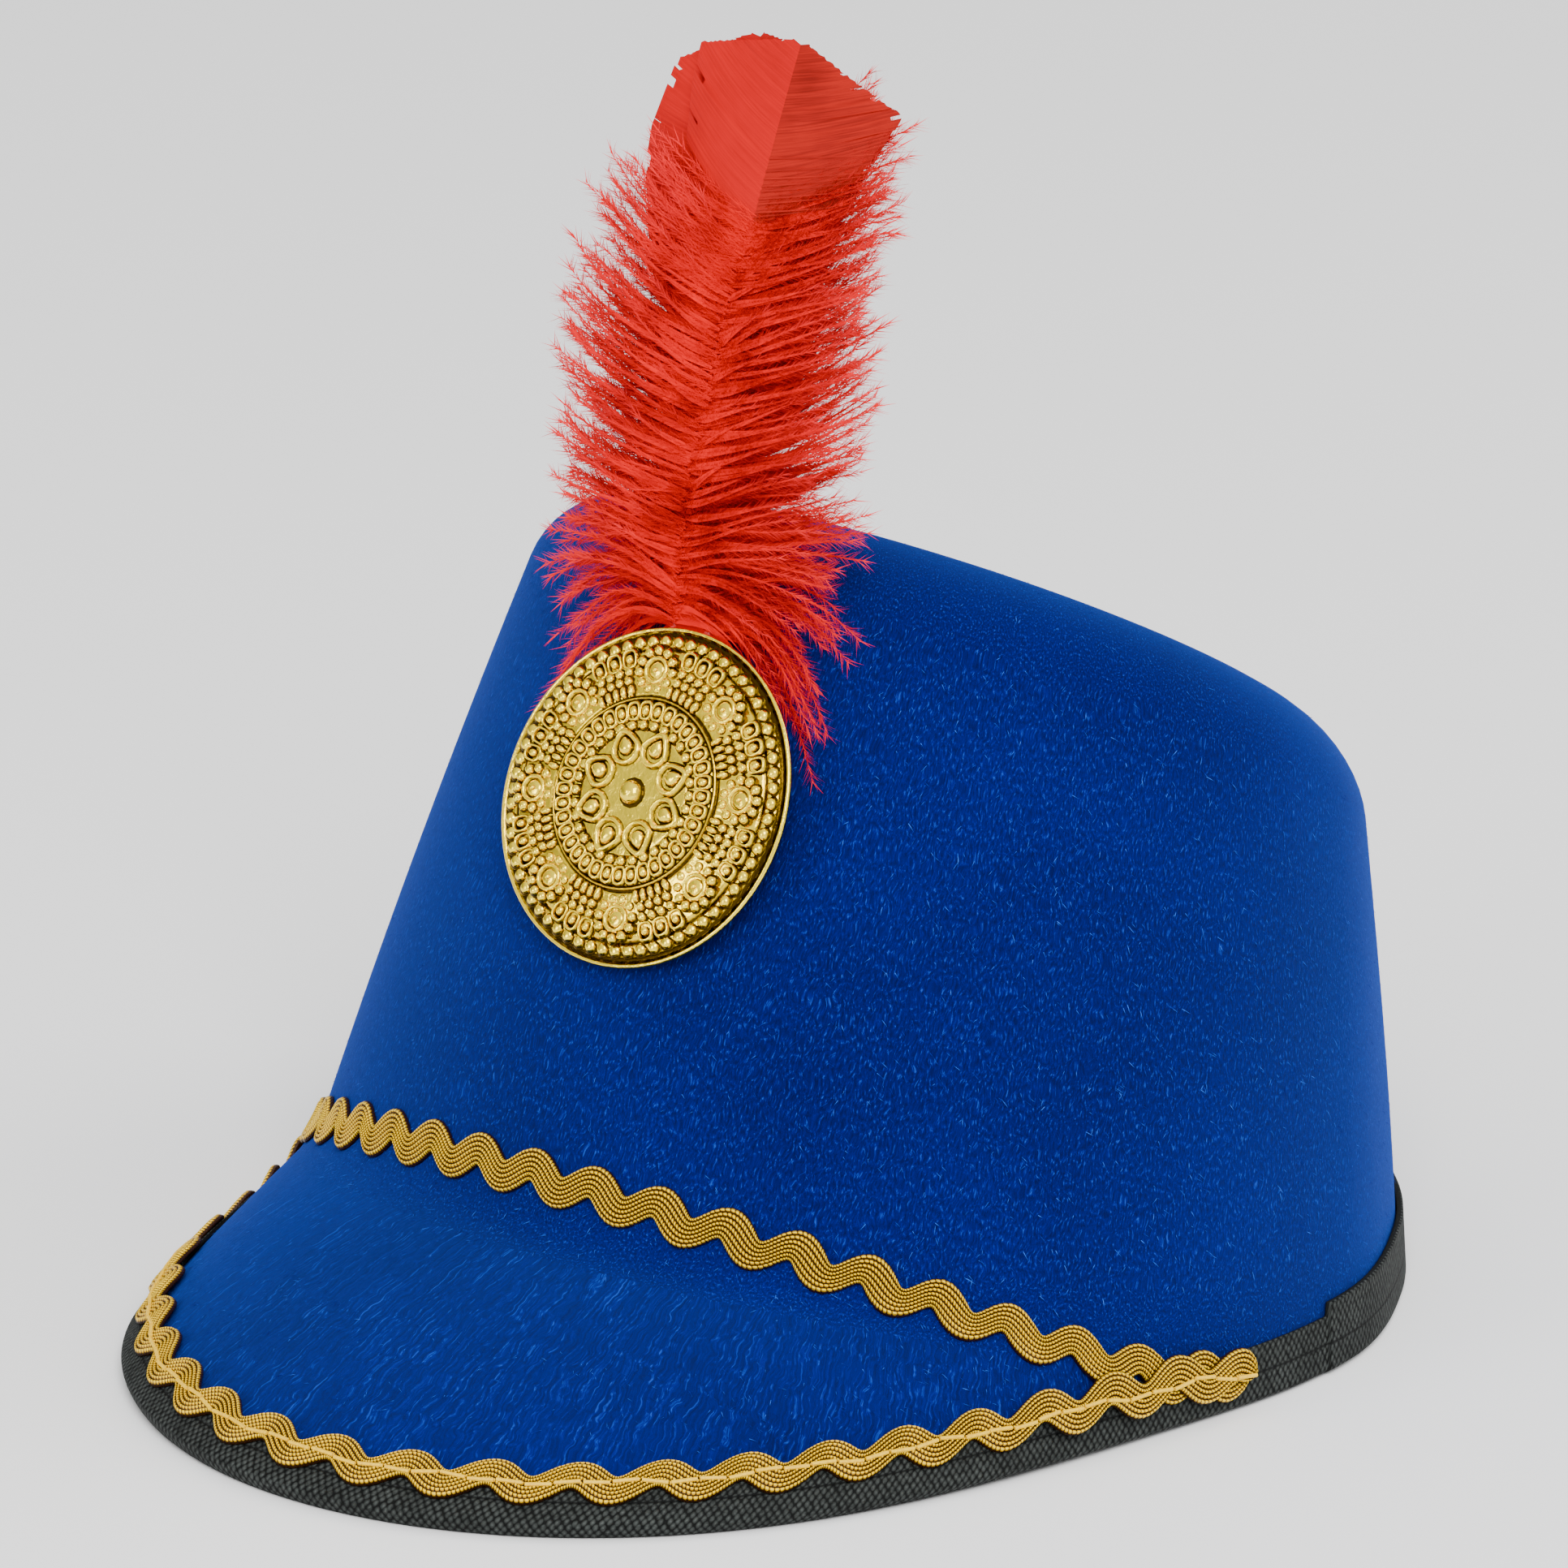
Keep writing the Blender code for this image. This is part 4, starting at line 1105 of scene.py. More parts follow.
def buildMedallion(material):
    profile = np.array(plateRadii())
    turns = np.linspace(0, math.tau, medallion["steps"], endpoint=False)
    verts = np.stack(
        [
            profile[:, 0][:, None] * np.cos(turns),
            profile[:, 0][:, None] * np.sin(turns),
            np.broadcast_to(profile[:, 1][:, None], (len(profile), len(turns))),
        ],
        -1,
    )
    plate = makeMesh("plate", verts.reshape(-1, 3), gridFaces(len(profile), len(turns), closedColumns=True), material)
    addShade(plate, "shade", np.repeat(profile[:, 2], len(turns)))
    shapes = {kind: ornamentShape(kind) for kind in ("bead", "drop", "loop", "frame", "petal")}
    tree = ringTree(material)
    seat = bpy.data.objects.new("seat", bpy.data.meshes.new("seat"))
    bpy.context.scene.collection.objects.link(seat)
    parts = [plate]
    for number, (kind, count, radius, size, turn, together) in enumerate(ornaments):
        start = medallion["turn"] + math.pi / 2 + math.radians(22.5 if together > 1 else turn)
        settings = {
            "Count": count,
            "Radius": radius / 1000,
            "Turn": start,
            "Group": together,
            "Spread": math.radians(turn) if together > 1 else 0.0,
            "Height": fieldHeight(radius / 1000) - 0.00002,
            "Size": [value / 1000 for value in size],
            "Shape": shapes[kind],
        }
        parts.append(runTree(tree, seat, settings, f"ornament{number}", material))
    # petals round each rosette
    for rosette in range(8):
        angle = medallion["turn"] + math.pi / 2 + math.tau * rosette / 8
        settings = {
            "Count": 11,
            "Radius": 0.00335,
            "Turn": angle,
            "Group": 1,
            "Spread": 0.0,
            "Height": fieldHeight(0.0208) - 0.00002,
            "Size": [0.00092, 0.00088, 0.00105],
            "Shape": shapes["bead"],
        }
        petals = runTree(tree, seat, settings, f"rosette{rosette}", material)
        petals.data.transform(Matrix.Translation((0.0208 * math.cos(angle), 0.0208 * math.sin(angle), 0)))
        parts.append(petals)
    whole = bmesh.new()
    for part in parts:
        whole.from_mesh(part.data)
    data = bpy.data.meshes.new("medallionPlate")
    bmesh.ops.remove_doubles(whole, verts=whole.verts, dist=1e-7)
    whole.to_mesh(data)
    whole.free()
    data.materials.append(material)
    data.transform(medallionPlace())
    data.shade_smooth()
    for item in parts + list(shapes.values()) + [seat]:
        removeObject(item)
    piece = bpy.data.objects.new("medallionPlate", data)
    bpy.context.scene.collection.objects.link(piece)
    facesOutward(piece)
    return piece


goldMetal = goldFinish()
medallionPlate = finishPiece(buildMedallion(goldMetal), "gold_metal", "medallion")


# Feathers

plume = {
    "quill": 0.002,
    "rise": 0.0995,
    "lean": math.radians(15.5),
    "shortShare": 0.6,
    "downSides": ((0.70, 0.52), (0.80, 0.75)),
    "riseRoots": (0.0, 0.04, 0.10, 0.20, 0.32, 0.50, 0.72),
    "rises": (-0.19, -0.07, 0.04, 0.10, 0.14, 0.175, 0.165),
    "webDeep": (0.36, 0.0, 0.0005),
    "webRed": (0.52, 0.0, 0.0008),
    "scarlet": (0.58, 0.0, 0.0010),
    "bright": (0.74, 0.0004, 0.0022),
    "deep": (0.34, 0.0, 0.0006),
    "rust": (0.36, 0.006, 0.002),
    "pink": (0.88, 0.020, 0.030),
}
# widths of the flat web in millimetres by share of the feather's height, and how the two feathers stand
feathers = {
    "front": {
        "node": "feather_front",
        "start": -0.0058,
        "topFall": (0.0028, 0.0031),
        "drift": 0.0060,
        "layer": 0.0024,
        "seed": 11,
        "webShares": (0.30, 0.50, 0.60, 0.70, 0.80, 0.925, 1.02),
        "webLeft": (10.0, 14.0, 15.5, 17.5, 19.8, 22.0, 22.4),
        "webRight": (8.0, 12.0, 13.5, 15.0, 17.5, 21.4, 22.0),
        "barbs": 175,
        "reachRoots": (0.0, 0.05, 0.12, 0.20, 0.32, 0.45, 0.58, 0.72),
        "reachLeft": (20.0, 28.0, 26.0, 30.0, 33.0, 33.0, 30.5, 25.0),
        "reachRight": (30.0, 28.5, 27.0, 26.0, 26.5, 25.5, 24.0, 23.5),
    },
    "back": {
        "node": "feather_back",
        "start": 0.0012,
        "topFall": (0.0015, 0.0038),
        "drift": -0.0115,
        "layer": 0.0,
        "seed": 23,
        "webShares": (0.30, 0.50, 0.67, 0.77, 0.86, 0.98, 1.02),
        "webLeft": (12.0, 19.5, 24.5, 25.5, 24.0, 18.8, 17.0),
        "webRight": (8.0, 12.0, 13.0, 13.0, 12.0, 9.0, 8.0),
        "barbs": 140,
        "reachRoots": (0.0, 0.05, 0.12, 0.20, 0.32, 0.45, 0.58, 0.72),
        "reachLeft": (22.0, 29.0, 28.0, 30.0, 32.0, 30.0, 26.0, 20.0),
        "reachRight": (25.0, 24.5, 24.0, 23.0, 22.5, 23.0, 22.0, 21.0),
    },
}
feltUnderMedallion = onFelt(0.0, climbAtHeight(0.0, 0.092)[()]) + place
medallionUp = np.array([0, math.sin(medallion["tilt"]), math.cos(medallion["tilt"])])
medallionOut = np.array([0, -math.cos(medallion["tilt"]), math.sin(medallion["tilt"])])


def quillPoint(feather, share):
    share = np.asarray(share, float)
    side = np.array([1.0, 0, 0])
    leave = feltUnderMedallion + side * feather["start"] + medallionUp * medallion["radius"]
    leave = leave + medallionOut * (hat["gap"] + plume["quill"] / 2)
    upright = np.array([0, math.sin(plume["lean"]), math.cos(plume["lean"])])
    forward = np.array([0, -math.cos(plume["lean"]), math.sin(plume["lean"])])
    s = np.maximum(share, 0)[..., None]
    blend = smoothStep(s * 4)
    bent = unit(medallionUp * (1 - blend) + upright * blend)
    line = leave + bent * plume["rise"] * s + side * feather["drift"] * s * s
    line = line + forward * feather["layer"] * smoothStep(s * 5)
    return line + medallionUp * np.minimum(share, 0)[..., None] * plume["rise"]


def featherPoint(feather, x, share, lift):
    # from the feather's own plane (across, share of its height, out of its face) to the hat
    here = quillPoint(feather, share)
    ahead = unit(quillPoint(feather, share + 0.01) - quillPoint(feather, share - 0.01))
    side = np.broadcast_to(np.array([1.0, 0, 0]), ahead.shape)
    side = unit(side - ahead * (side * ahead).sum(-1, keepdims=True))
    face = unit(np.cross(side, ahead))
    return here + side * np.asarray(x)[..., None] + face * np.asarray(lift)[..., None]


def behindPlate(points, margin=0.0):
    flat = points - np.array(medallion["centre"])
    away = np.hypot(flat[..., 0], (flat * medallionUp).sum(-1))
    return away - medallion["radius"] - margin


def settle(points):
    # keeps a barb off the felt, and behind the medallion where it passes under it
    points = points.copy()
    flat = points - np.array(medallion["centre"])
    off = (flat * medallionOut).sum(-1)
    most = -0.0008 + np.clip(behindPlate(points), 0, 0.01) * 1.5
    points += medallionOut * np.minimum(most - off, 0)[..., None]
    x, z = points[..., 0] - place[0], points[..., 2]
    a = np.zeros(x.shape)
    for _ in range(4):
        share = z / topPoint(a)[..., 2]
        width = hat["rimHalfWidth"] * (1 - share) + hat["topHalfWidth"] * share
        a = np.arcsin(np.clip(x / width, -0.9, 0.9))
    front = wallPoint(a, z)[..., 1] + place[1] - 0.0006
    onCrown = z < topPoint(a)[..., 2] - 0.002
    points[..., 1] = np.where(onCrown, np.minimum(points[..., 1], front), points[..., 1])
    return points


def webFaces(feather, side, rng):
    # barbs side by side, joined to a sheet; between clumps the sheet is split towards its edge
    verts, uvs, faces = [], [], []
    count, segments = 190, 14
    clumpEnd, lean, wide, split, lift = 0, 0.0, 1.0, 0, 0.0
    sideKey = "webLeft" if side < 0 else "webRight"
    rows = []
    for k in range(count):
        newClump = k == clumpEnd
        if newClump:
            clumpEnd = k + int(rng.integers(5, 24))
            lean = rng.normal(0, 0.003)
            wide = 1 + rng.normal(0, 0.015)
            lift = rng.normal(0, 0.00022)
            split = int(segments * rng.uniform(0.90, 1.0))
        root = 0.36 + 0.635 * k / count
        slant = 0.125 * (1.1 - 0.35 * root) + lean
        width = np.interp(min(root + slant, 1.02), feather["webShares"], feather[sideKey]) / 1000 * wide
        t = np.linspace(0, 1, 80)
        x = width * t
        share = root + slant * (0.72 * t + 0.28 * t * t)
        top = 1.0 - feather["topFall"][0 if side < 0 else 1] * x * 1000 + 0.0008 * math.sin(k * 1.7)
        over = np.nonzero(share > top)[0]
        last = t[over[0]] if len(over) else 1.0
        if last < 0.02:
            break
        t = np.linspace(0, last, segments + 1)
        x = width * t
        share = root + slant * (0.72 * t + 0.28 * t * t)
        height = 0.0004 - 0.0034 * t**2 + 0.0007 * np.sin(7 * root + 2.5 * t) * t + lift * t
        rows.append((newClump, split))
        verts.append(featherPoint(feather, side * x, share, height))
        uvs.append(np.stack([x, np.full(len(t), root * plume["rise"])], -1))
    for k in range(1, len(rows)):
        reach = rows[k - 1][1] if rows[k][0] else segments
        for j in range(reach):
            a = (k - 1) * (segments + 1) + j
            b = a + segments + 1
            faces.append((a, a + 1, b + 1, b) if side > 0 else (a, b, b + 1, a + 1))
    return np.concatenate(verts), np.concatenate(uvs), faces


def strayBarbs(feather, rng):
    # a few single barbs that stand out past the web's right edge
    verts, uvs, faces = [], [], []
    for root in (0.700, 0.708, 0.722, 0.731, 0.744, 0.752, 0.765, 0.778, 0.800):
        t = np.linspace(0, 1, 12)
        width = rng.uniform(0.0235, 0.0270)
        share = root + 0.095 * (0.8 * t + 0.2 * t * t) + rng.normal(0, 0.004) * t
        height = 0.0006 - 0.0030 * t**2
        half = 0.00016 * (1 - 0.9 * t) / plume["rise"]
        low = featherPoint(feather, width * t, share - half, height)
        high = featherPoint(feather, width * t, share + half, height)
        start = sum(len(part) for part in verts)
        verts.append(np.stack([low, high], 1).reshape(-1, 3))
        uvs.append(np.repeat(np.stack([width * t, np.full(len(t), root * plume["rise"])], -1), 2, 0))
        faces += [(start + j, start + j + 2, start + j + 3, start + j + 1) for j in range(0, 22, 2)]
    return np.concatenate(verts), np.concatenate(uvs), faces


def joinParts(parts):
    verts, uvs, faces, start = [], [], [], 0
    for partVerts, partUvs, partFaces in parts:
        verts.append(partVerts)
        uvs.append(partUvs)
        faces += [tuple(index + start for index in face) for face in partFaces]
        start += len(partVerts)
    return np.concatenate(verts), np.concatenate(uvs), faces


def buildWeb(name, feather, material):
    rng = np.random.default_rng(feather["seed"])
    parts = [webFaces(feather, side, rng) for side in (-1, 1)]
    rightStart = len(parts[0][0])
    if feather["layer"]:
        parts.append(strayBarbs(feather, rng))
    verts, uvs, faces = joinParts(parts)
    piece = makeMesh(name, verts, faces, material, uvs)
    right = (np.arange(len(verts)) >= rightStart) * (1.0 if feather["layer"] else 0.25)
    addShade(piece, "rust", right)
    return piece


def buildQuill(name, feather, material):
    shares = np.linspace(-0.10, 0.990, 60)
    points = quillPoint(feather, shares)
    ahead = unit(np.gradient(points, axis=0))
    side = unit(np.cross(ahead, np.array([0, 1.0, 0])))
    face = unit(np.cross(side, ahead))
    stations, sizes = (-0.1, 0.05, 0.3, 0.7, 0.985), (1.0, 0.90, 0.60, 0.38, 0.14)
    radius = plume["quill"] / 2 * np.interp(shares, stations, sizes)
    turns = np.linspace(0, math.tau, 10, endpoint=False)
    ring = side[:, None] * np.cos(turns)[None, :, None] + face[:, None] * np.sin(turns)[None, :, None]
    verts = points[:, None] + ring * radius[:, None, None]
    faces = gridFaces(len(shares), len(turns), closedColumns=True)
    faces.append(tuple(range(10)))
    faces.append(tuple(range((len(shares) - 1) * 10, len(shares) * 10)))
    piece = makeMesh(name, verts.reshape(-1, 3), faces, material)
    facesOutward(piece)
    return piece


def downLines(feather):
    # the soft barbs: each a line from the quill that spreads, and droops or sweeps up, and curls
    rng = np.random.default_rng(feather["seed"] + 5)
    lines = []
    full = feather["barbs"]
    short = round(full * plume["shortShare"])
    for side in (-1, 1):
        reaches = feather["reachLeft" if side < 0 else "reachRight"]
        highest, sweep = plume["downSides"][0 if side < 0 else 1]
        tuft = 0.0
        for k in range(full + short):
            if k % 6 == 0:
                tuft = rng.normal(0, 1)
            if k < full:
                root = 0.004 + highest * (k + rng.uniform(0, 1)) / full
                scale = rng.uniform(0.76, 1.06)
            else:
                # shorter ones fill the middle and hide the quill
                root = 0.02 + 0.66 * rng.uniform(0, 1)
                scale = rng.uniform(0.30, 0.75)
            t = np.linspace(0, 1, 13)
            reach = np.interp(root, feather["reachRoots"], reaches) / 1000
            reach *= scale * (1 + 0.05 * tuft)
            rise = np.interp(root, plume["riseRoots"], plume["rises"])
            rise *= (0.4 + 0.6 * scale) * (sweep if rise > 0 else 1)
            rise += rng.normal(0, 0.016) + 0.012 * tuft
            low = smoothStep(1 - root / 0.22)
            rise += rng.normal(0, 0.03) * low
            x = side * reach * (0.9 * t + 0.1 * t * t + 0.02 * np.sin(math.pi * t * 2 + rng.uniform(0, 6)) * t)
            x = x - side * rng.uniform(-0.4, 1.3) / 1000 * (1 - t) ** 4
            share = root + rise * (0.45 * t + 0.55 * t * t) + low * 0.05 * np.sin(math.pi * t) * scale
            share = share + rng.normal(0, 0.012) * t**2 * np.sin(2.5 * t)
            bow = rng.uniform(-0.002, 0.0046) if feather["layer"] else rng.uniform(-0.0035, 0.0016)
            over = rng.uniform(0.0, 0.0014) * (1 - t) ** 3
            lift = 0.0005 + over + bow * np.sin(math.pi * t * 0.7) - 0.0032 * t**2 + 0.0008 * tuft * t
            lines.append(settle(featherPoint(feather, x, share, lift)))
    return lines


def buildBarbs(name, feather, lines, material):
    # each barb's soft body is a ribbon that thins out to its tip
    rng = np.random.default_rng(feather["seed"] + 9)
    face = np.array([0, -math.cos(plume["lean"]), math.sin(plume["lean"])])
    verts, faces, tips = [], [], []
    for number, line in enumerate(lines):
        ahead = unit(np.gradient(line, axis=0))
        across = unit(np.cross(face, ahead))
        tilt = rng.uniform(-0.35, 0.35)
        across = across * math.cos(tilt) + np.cross(ahead, across) * math.sin(tilt)
        t = np.linspace(0, 1, len(line))
        half = 0.00080 * np.clip(1 - t**0.75, 0.015, 1) * np.minimum(0.25 + t * 4, 1) * rng.uniform(0.75, 1.3)
        start = number * len(line) * 2
        ribbon = np.stack([line - across * half[:, None], line + across * half[:, None]], 1)
        verts.append(settle(ribbon.reshape(-1, 3)))
        tips.append(np.repeat(t**3 * 0.6, 2))
        faces += [(start + j, start + j + 1, start + j + 3, start + j + 2) for j in range(0, len(line) * 2 - 2, 2)]
    piece = makeMesh(name, np.concatenate(verts), faces, material)
    addShade(piece, "tip", np.concatenate(tips))
    return piece


def fuzzTree(material):
    # a thin shaft along each line, with fine barbules standing off it on all sides
    tree = Tree(
        "barbFuzz",
        {
            "Shaft": ("Float", 0.00008),
            "Pitch": ("Float", 0.0005),
            "Barbule": ("Float", 0.002),
            "Shape": ("Object", None),
            "Seed": ("Int", 1),
        },
    )
    line = tree.node("GeometryNodeMeshToCurve", {"Mesh": tree.get("Geometry")})
    along = tree.node("GeometryNodeSplineParameter").outputs["Factor"]
    marked = tree.node(
        "GeometryNodeStoreNamedAttribute", {"Geometry": line.outputs[0], "Name": "tip", "Value": along}, data_type="FLOAT"
    )
    taper = tree.node("ShaderNodeMapRange", {"Value": along, 3: 1.0, 4: 0.3})
    thin = tree.node("ShaderNodeMath", {0: taper.outputs[0], 1: tree.get("Shaft")}, operation="MULTIPLY")
    profile = tree.node("GeometryNodeCurvePrimitiveCircle", {"Resolution": 3, "Radius": 1.0})
    shaft = tree.node(
        "GeometryNodeCurveToMesh",
        {"Curve": marked.outputs[0], "Profile Curve": profile.outputs[0], "Scale": thin.outputs[0]},
    )
    spots = tree.node(
        "GeometryNodeCurveToPoints", {"Curve": marked.outputs[0], "Length": tree.get("Pitch")}, mode="LENGTH"
    )
    tipNow = tree.node("GeometryNodeInputNamedAttribute", {"Name": "tip"}, data_type="FLOAT").outputs[0]
    spin = tree.node("FunctionNodeRandomValue", {"Seed": tree.get("Seed")}, data_type="FLOAT")
    spin.inputs[2].default_value, spin.inputs[3].default_value = 0.0, math.tau
    turn = tree.node("ShaderNodeCombineXYZ", {"Z": spin.outputs[1]})
    rotation = tree.node("FunctionNodeEulerToRotation", {0: turn.outputs[0]})
    turned = tree.node(
        "FunctionNodeRotateRotation",
        {"Rotation": spots.outputs["Rotation"], "Rotate By": rotation.outputs[0]},
        rotation_space="LOCAL",
    )
    size = tree.node("FunctionNodeRandomValue", {"Seed": 4}, data_type="FLOAT")
    size.inputs[2].default_value, size.inputs[3].default_value = 0.5, 1.1
    shrink = tree.node("ShaderNodeMapRange", {"Value": tipNow, 3: 0.8, 4: 0.95})
    length = tree.node("ShaderNodeMath", {0: size.outputs[1], 1: shrink.outputs[0]}, operation="MULTIPLY")
    scaled = tree.node("ShaderNodeMath", {0: length.outputs[0], 1: tree.get("Barbule")}, operation="MULTIPLY")
    shape = tree.node("GeometryNodeObjectInfo", {"Object": tree.get("Shape")})
    barbules = tree.node(
        "GeometryNodeInstanceOnPoints",
        {
            "Points": spots.outputs[0],
            "Instance": shape.outputs["Geometry"],
            "Rotation": turned.outputs[0],
            "Scale": scaled.outputs[0],
        },
    )
    both = tree.node("GeometryNodeJoinGeometry")
    tree.group.links.new(shaft.outputs[0], both.inputs[0])
    tree.group.links.new(barbules.outputs[0], both.inputs[0])
    tree.close(both.outputs[0], material)
    return tree


def buildFuzz(name, feather, lines, tree, material):
    verts, edges = [], []
    for line in lines:
        # what lies behind the medallion carries no fuzz
        clear = behindPlate(line, margin=-0.001) > 0
        kept = line[clear] if clear.any() and clear[-1] else line[:0]
        if len(kept) < 4:
            continue
        start = len(verts)
        verts += [tuple(point) for point in kept]
        edges += [(start + j, start + j + 1) for j in range(len(kept) - 1)]
    carrier = bpy.data.meshes.new("downLines")
    carrier.from_pydata(verts, edges, [])
    carrierObject = bpy.data.objects.new("downLines", carrier)
    bpy.context.scene.collection.objects.link(carrierObject)
    barbule = bpy.data.meshes.new("barbule")
    barbule.from_pydata([(0, -0.036, 0), (0, 0.036, 0), (0.68, 0, 0.73)], [], [(0, 1, 2)])
    barbuleObject = bpy.data.objects.new("barbule", barbule)
    bpy.context.scene.collection.objects.link(barbuleObject)
    settings = {
        "Shaft": 0.00009,
        "Pitch": 0.00016,
        "Barbule": 0.0034,
        "Shape": barbuleObject,
        "Seed": feather["seed"],
    }
    piece = runTree(tree, carrierObject, settings, name, material)
    removeObject(carrierObject)
    removeObject(barbuleObject)
    return piece


def webFinish():
    web = Finish("redWeb", roughness=0.6, specular=0.12)
    uv = web.add("ShaderNodeTexCoord", out=2)
    parts = web.nodes.new("ShaderNodeSeparateXYZ")
    web.links.new(uv, parts.inputs[0])
    spot = web.add("ShaderNodeTexCoord", out=3)
    cloud = web.add("ShaderNodeTexNoise", {"Vector": spot, "Scale": 70.0, "Detail": 3.0})
    strands = web.add("ShaderNodeMapping", {"Vector": uv, "Scale": (90.0, 2600.0, 1.0)})
    strand = web.add("ShaderNodeTexNoise", {"Vector": strands, "Scale": 1.0, "Detail": 2.0})
    tone = web.math("ADD", web.math("MULTIPLY", strand, 0.55), web.math("MULTIPLY", cloud, 0.45))
    red = web.ramp(tone, ((0.32, plume["webDeep"]), (0.62, plume["webRed"])))
    dull = web.ramp(tone, ((0.36, (0.17, 0.003, 0.001)), (0.58, plume["rust"])))
    onRight = web.add("ShaderNodeAttribute", attribute_name="rust", out=2)
    colour = web.mix(onRight, red, dull)
    return web.set(Base_Color=colour, Normal=web.bump(strand, 0.35, 0.0003))


def downFinish():
    down = Finish("redDown", roughness=0.8, specular=0.06)
    spot = down.add("ShaderNodeTexCoord", out=3)
    cloud = down.add("ShaderNodeTexNoise", {"Vector": spot, "Scale": 120.0, "Detail": 3.0})
    body = down.ramp(cloud, ((0.26, plume["deep"]), (0.45, plume["scarlet"]), (0.66, plume["bright"])))
    tip = down.add("ShaderNodeAttribute", attribute_name="tip", out=2)
    colour = down.mix(down.math("MULTIPLY", down.math("POWER", tip, 2.0), 0.75), body, plume["pink"])
    return down.set(Base_Color=colour)


def quillFinish():
    quill = Finish("redQuill", roughness=0.28, specular=0.5)
    spot = quill.add("ShaderNodeTexCoord", out=3)
    mottle = quill.add("ShaderNodeTexNoise", {"Vector": spot, "Scale": 300.0, "Detail": 2.0})
    colour = quill.ramp(mottle, ((0.35, plume["scarlet"]), (0.65, (0.85, 0.012, 0.020))))
    return quill.set(Base_Color=colour, Normal=quill.bump(mottle, 0.2, 0.0001))


redWeb, redDown, redQuill = webFinish(), downFinish(), quillFinish()
fuzz = fuzzTree(redDown)
for key, feather in feathers.items():
    lines = downLines(feather)
    finishPiece(buildBarbs(key + "Barbs", feather, lines, redDown), "red_feather", feather["node"])
    finishPiece(buildWeb(key + "Web", feather, redWeb), "red_feather")
    finishPiece(buildQuill(key + "Quill", feather, redQuill), "red_feather")
    finishPiece(buildFuzz(key + "Fuzz", feather, lines, fuzz, redDown), "red_feather")


# Hidden stud, floor, light and camera

plainFinish = Finish("plainStud", roughness=0.6)
studNoise = plainFinish.add("ShaderNodeTexNoise", {"Scale": 400.0})
plainFinish.set(
    Base_Color=plainFinish.ramp(studNoise, ((0.3, (0.5, 0.47, 0.4)), (0.7, (0.58, 0.55, 0.48)))),
    Normal=plainFinish.bump(studNoise, 0.2, 0.0001),
)
stud = frame["nodes"]["medallion_stud"]
stud.data.materials.clear()
stud.data.materials.append(plainFinish.material)

studio = {
    "floor": (0.93, 0.93, 0.93),
    "brightSide": (0.55, -0.20, 0.81),
    "brightSky": 1.45,
    "darkSky": 0.30,
    "key": 30.0,
    "fill": 7.0,
    "back": 9.0,
}
floorFinish = Finish("paleFloor", roughness=0.9, specular=0.1)
floorFinish.set(Base_Color=(*studio["floor"], 1.0))
floor = makeMesh(
    "floor",
    [(-6, -6, -0.0001), (6, -6, -0.0001), (6, 6, -0.0001), (-6, 6, -0.0001)],
    [(0, 1, 2, 3)],
    floorFinish.material,
)

world = bpy.data.worlds.new("studioAir")
world.use_nodes = True
air = world.node_tree
direction = air.nodes.new("ShaderNodeTexCoord")
facingKey = air.nodes.new("ShaderNodeVectorMath")
facingKey.operation = "DOT_PRODUCT"
facingKey.inputs[1].default_value = studio["brightSide"]
strength = air.nodes.new("ShaderNodeMapRange")
for socket, value in ((1, -0.5), (2, 0.8), (3, studio["darkSky"]), (4, studio["brightSky"])):
    strength.inputs[socket].default_value = value
air.links.new(direction.outputs["Generated"], facingKey.inputs[0])
air.links.new(facingKey.outputs["Value"], strength.inputs[0])
air.links.new(strength.outputs[0], air.nodes["Background"].inputs[1])
air.nodes["Background"].inputs[0].default_value = (1.0, 1.0, 1.0, 1.0)
bpy.context.scene.world = world


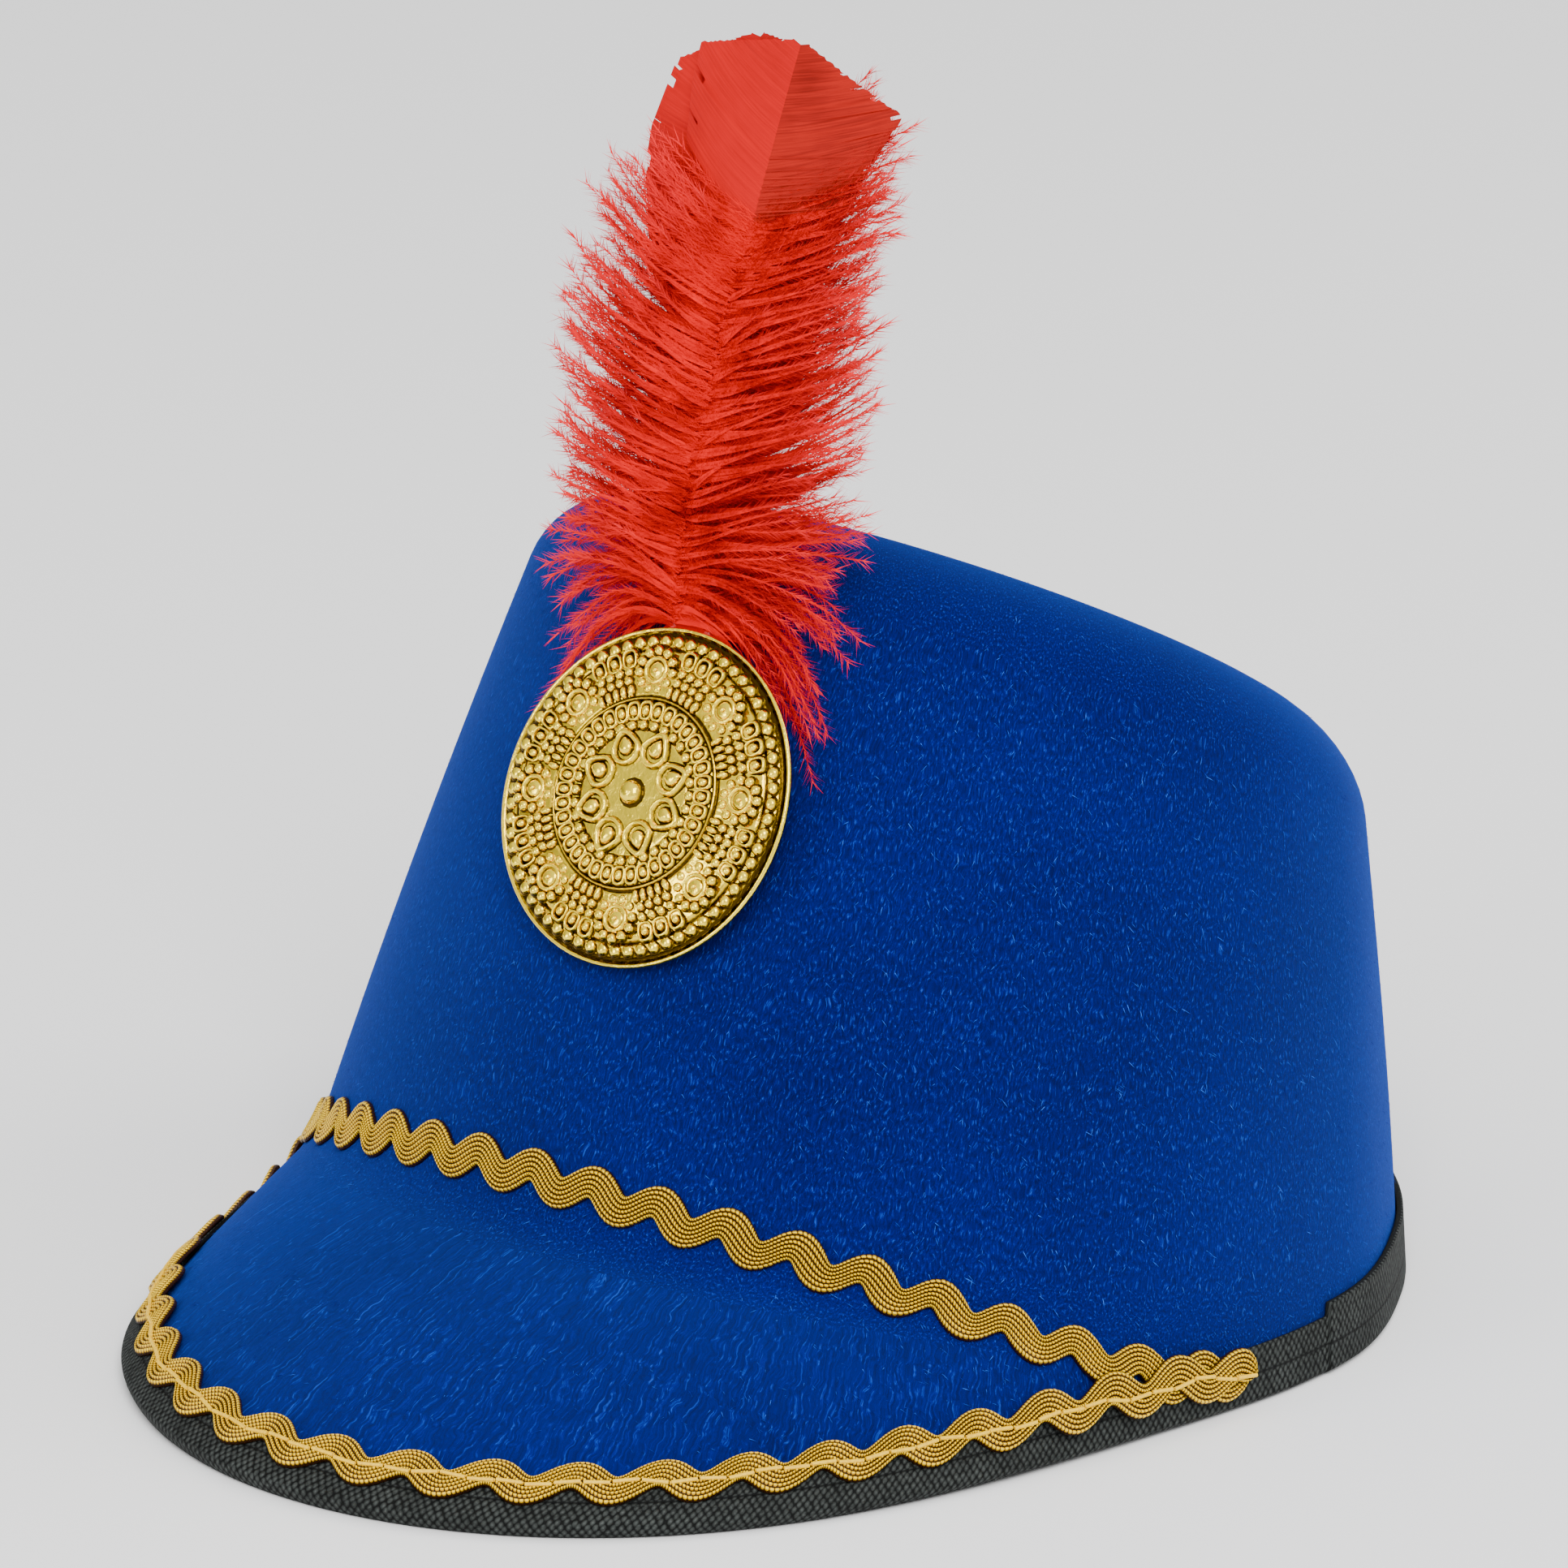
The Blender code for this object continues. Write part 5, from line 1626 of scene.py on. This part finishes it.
def areaLight(name, spot, aim, size, power, colour=(1.0, 1.0, 1.0)):
    light = bpy.data.lights.new(name, "AREA")
    light.shape = "RECTANGLE"
    light.size, light.size_y = size
    light.energy = power
    light.color = colour
    lamp = bpy.data.objects.new(name, light)
    lamp.location = spot
    lamp.rotation_mode = "QUATERNION"
    lamp.rotation_quaternion = (Vector(aim) - Vector(spot)).to_track_quat("-Z", "Y")
    bpy.context.scene.collection.objects.link(lamp)
    return lamp


areaLight("keyLight", (0.9, -0.9, 1.3), (0, 0, 0.08), (0.9, 0.9), studio["key"])
areaLight("fillLight", (-0.5, -1.5, 0.45), (0, 0, 0.08), (0.5, 0.5), studio["fill"])
areaLight("backLight", (0.9, 1.1, 1.0), (0, 0, 0.1), (0.8, 0.8), studio["back"])

cameraFit = {
    "azimuth": math.radians(38.06),
    "elevation": math.radians(17.99),
    "distance": 1.49863,
    "roll": math.radians(0.99),
    "aimAside": -0.0134,
    "aimHeight": 0.08222,
    "focalPixels": 10920.58,
    "picturePixels": 1932.0,
}


def makeCamera():
    a, e, roll = cameraFit["azimuth"], cameraFit["elevation"], cameraFit["roll"]
    back = Vector((math.sin(a) * math.cos(e), -math.cos(a) * math.cos(e), math.sin(e)))
    right = Vector((math.cos(a), math.sin(a), 0))
    up = back.cross(right)
    across = right * math.cos(roll) + up * math.sin(roll)
    upward = -right * math.sin(roll) + up * math.cos(roll)
    aim = right * cameraFit["aimAside"] + Vector((0, 0, cameraFit["aimHeight"])) + Vector(hat["place"])
    lens = bpy.data.cameras.new("camera")
    lens.sensor_width = 36.0
    lens.lens = cameraFit["focalPixels"] / cameraFit["picturePixels"] * 36.0
    lens.clip_start, lens.clip_end = 0.05, 30.0
    camera = bpy.data.objects.new("camera", lens)
    camera.matrix_world = Matrix.Translation(aim + back * cameraFit["distance"]) @ Matrix(
        (across, upward, back)
    ).transposed().to_4x4()
    bpy.context.scene.collection.objects.link(camera)
    bpy.context.scene.camera = camera


makeCamera()
print("stage ready")

bpy.context.view_layer.update()
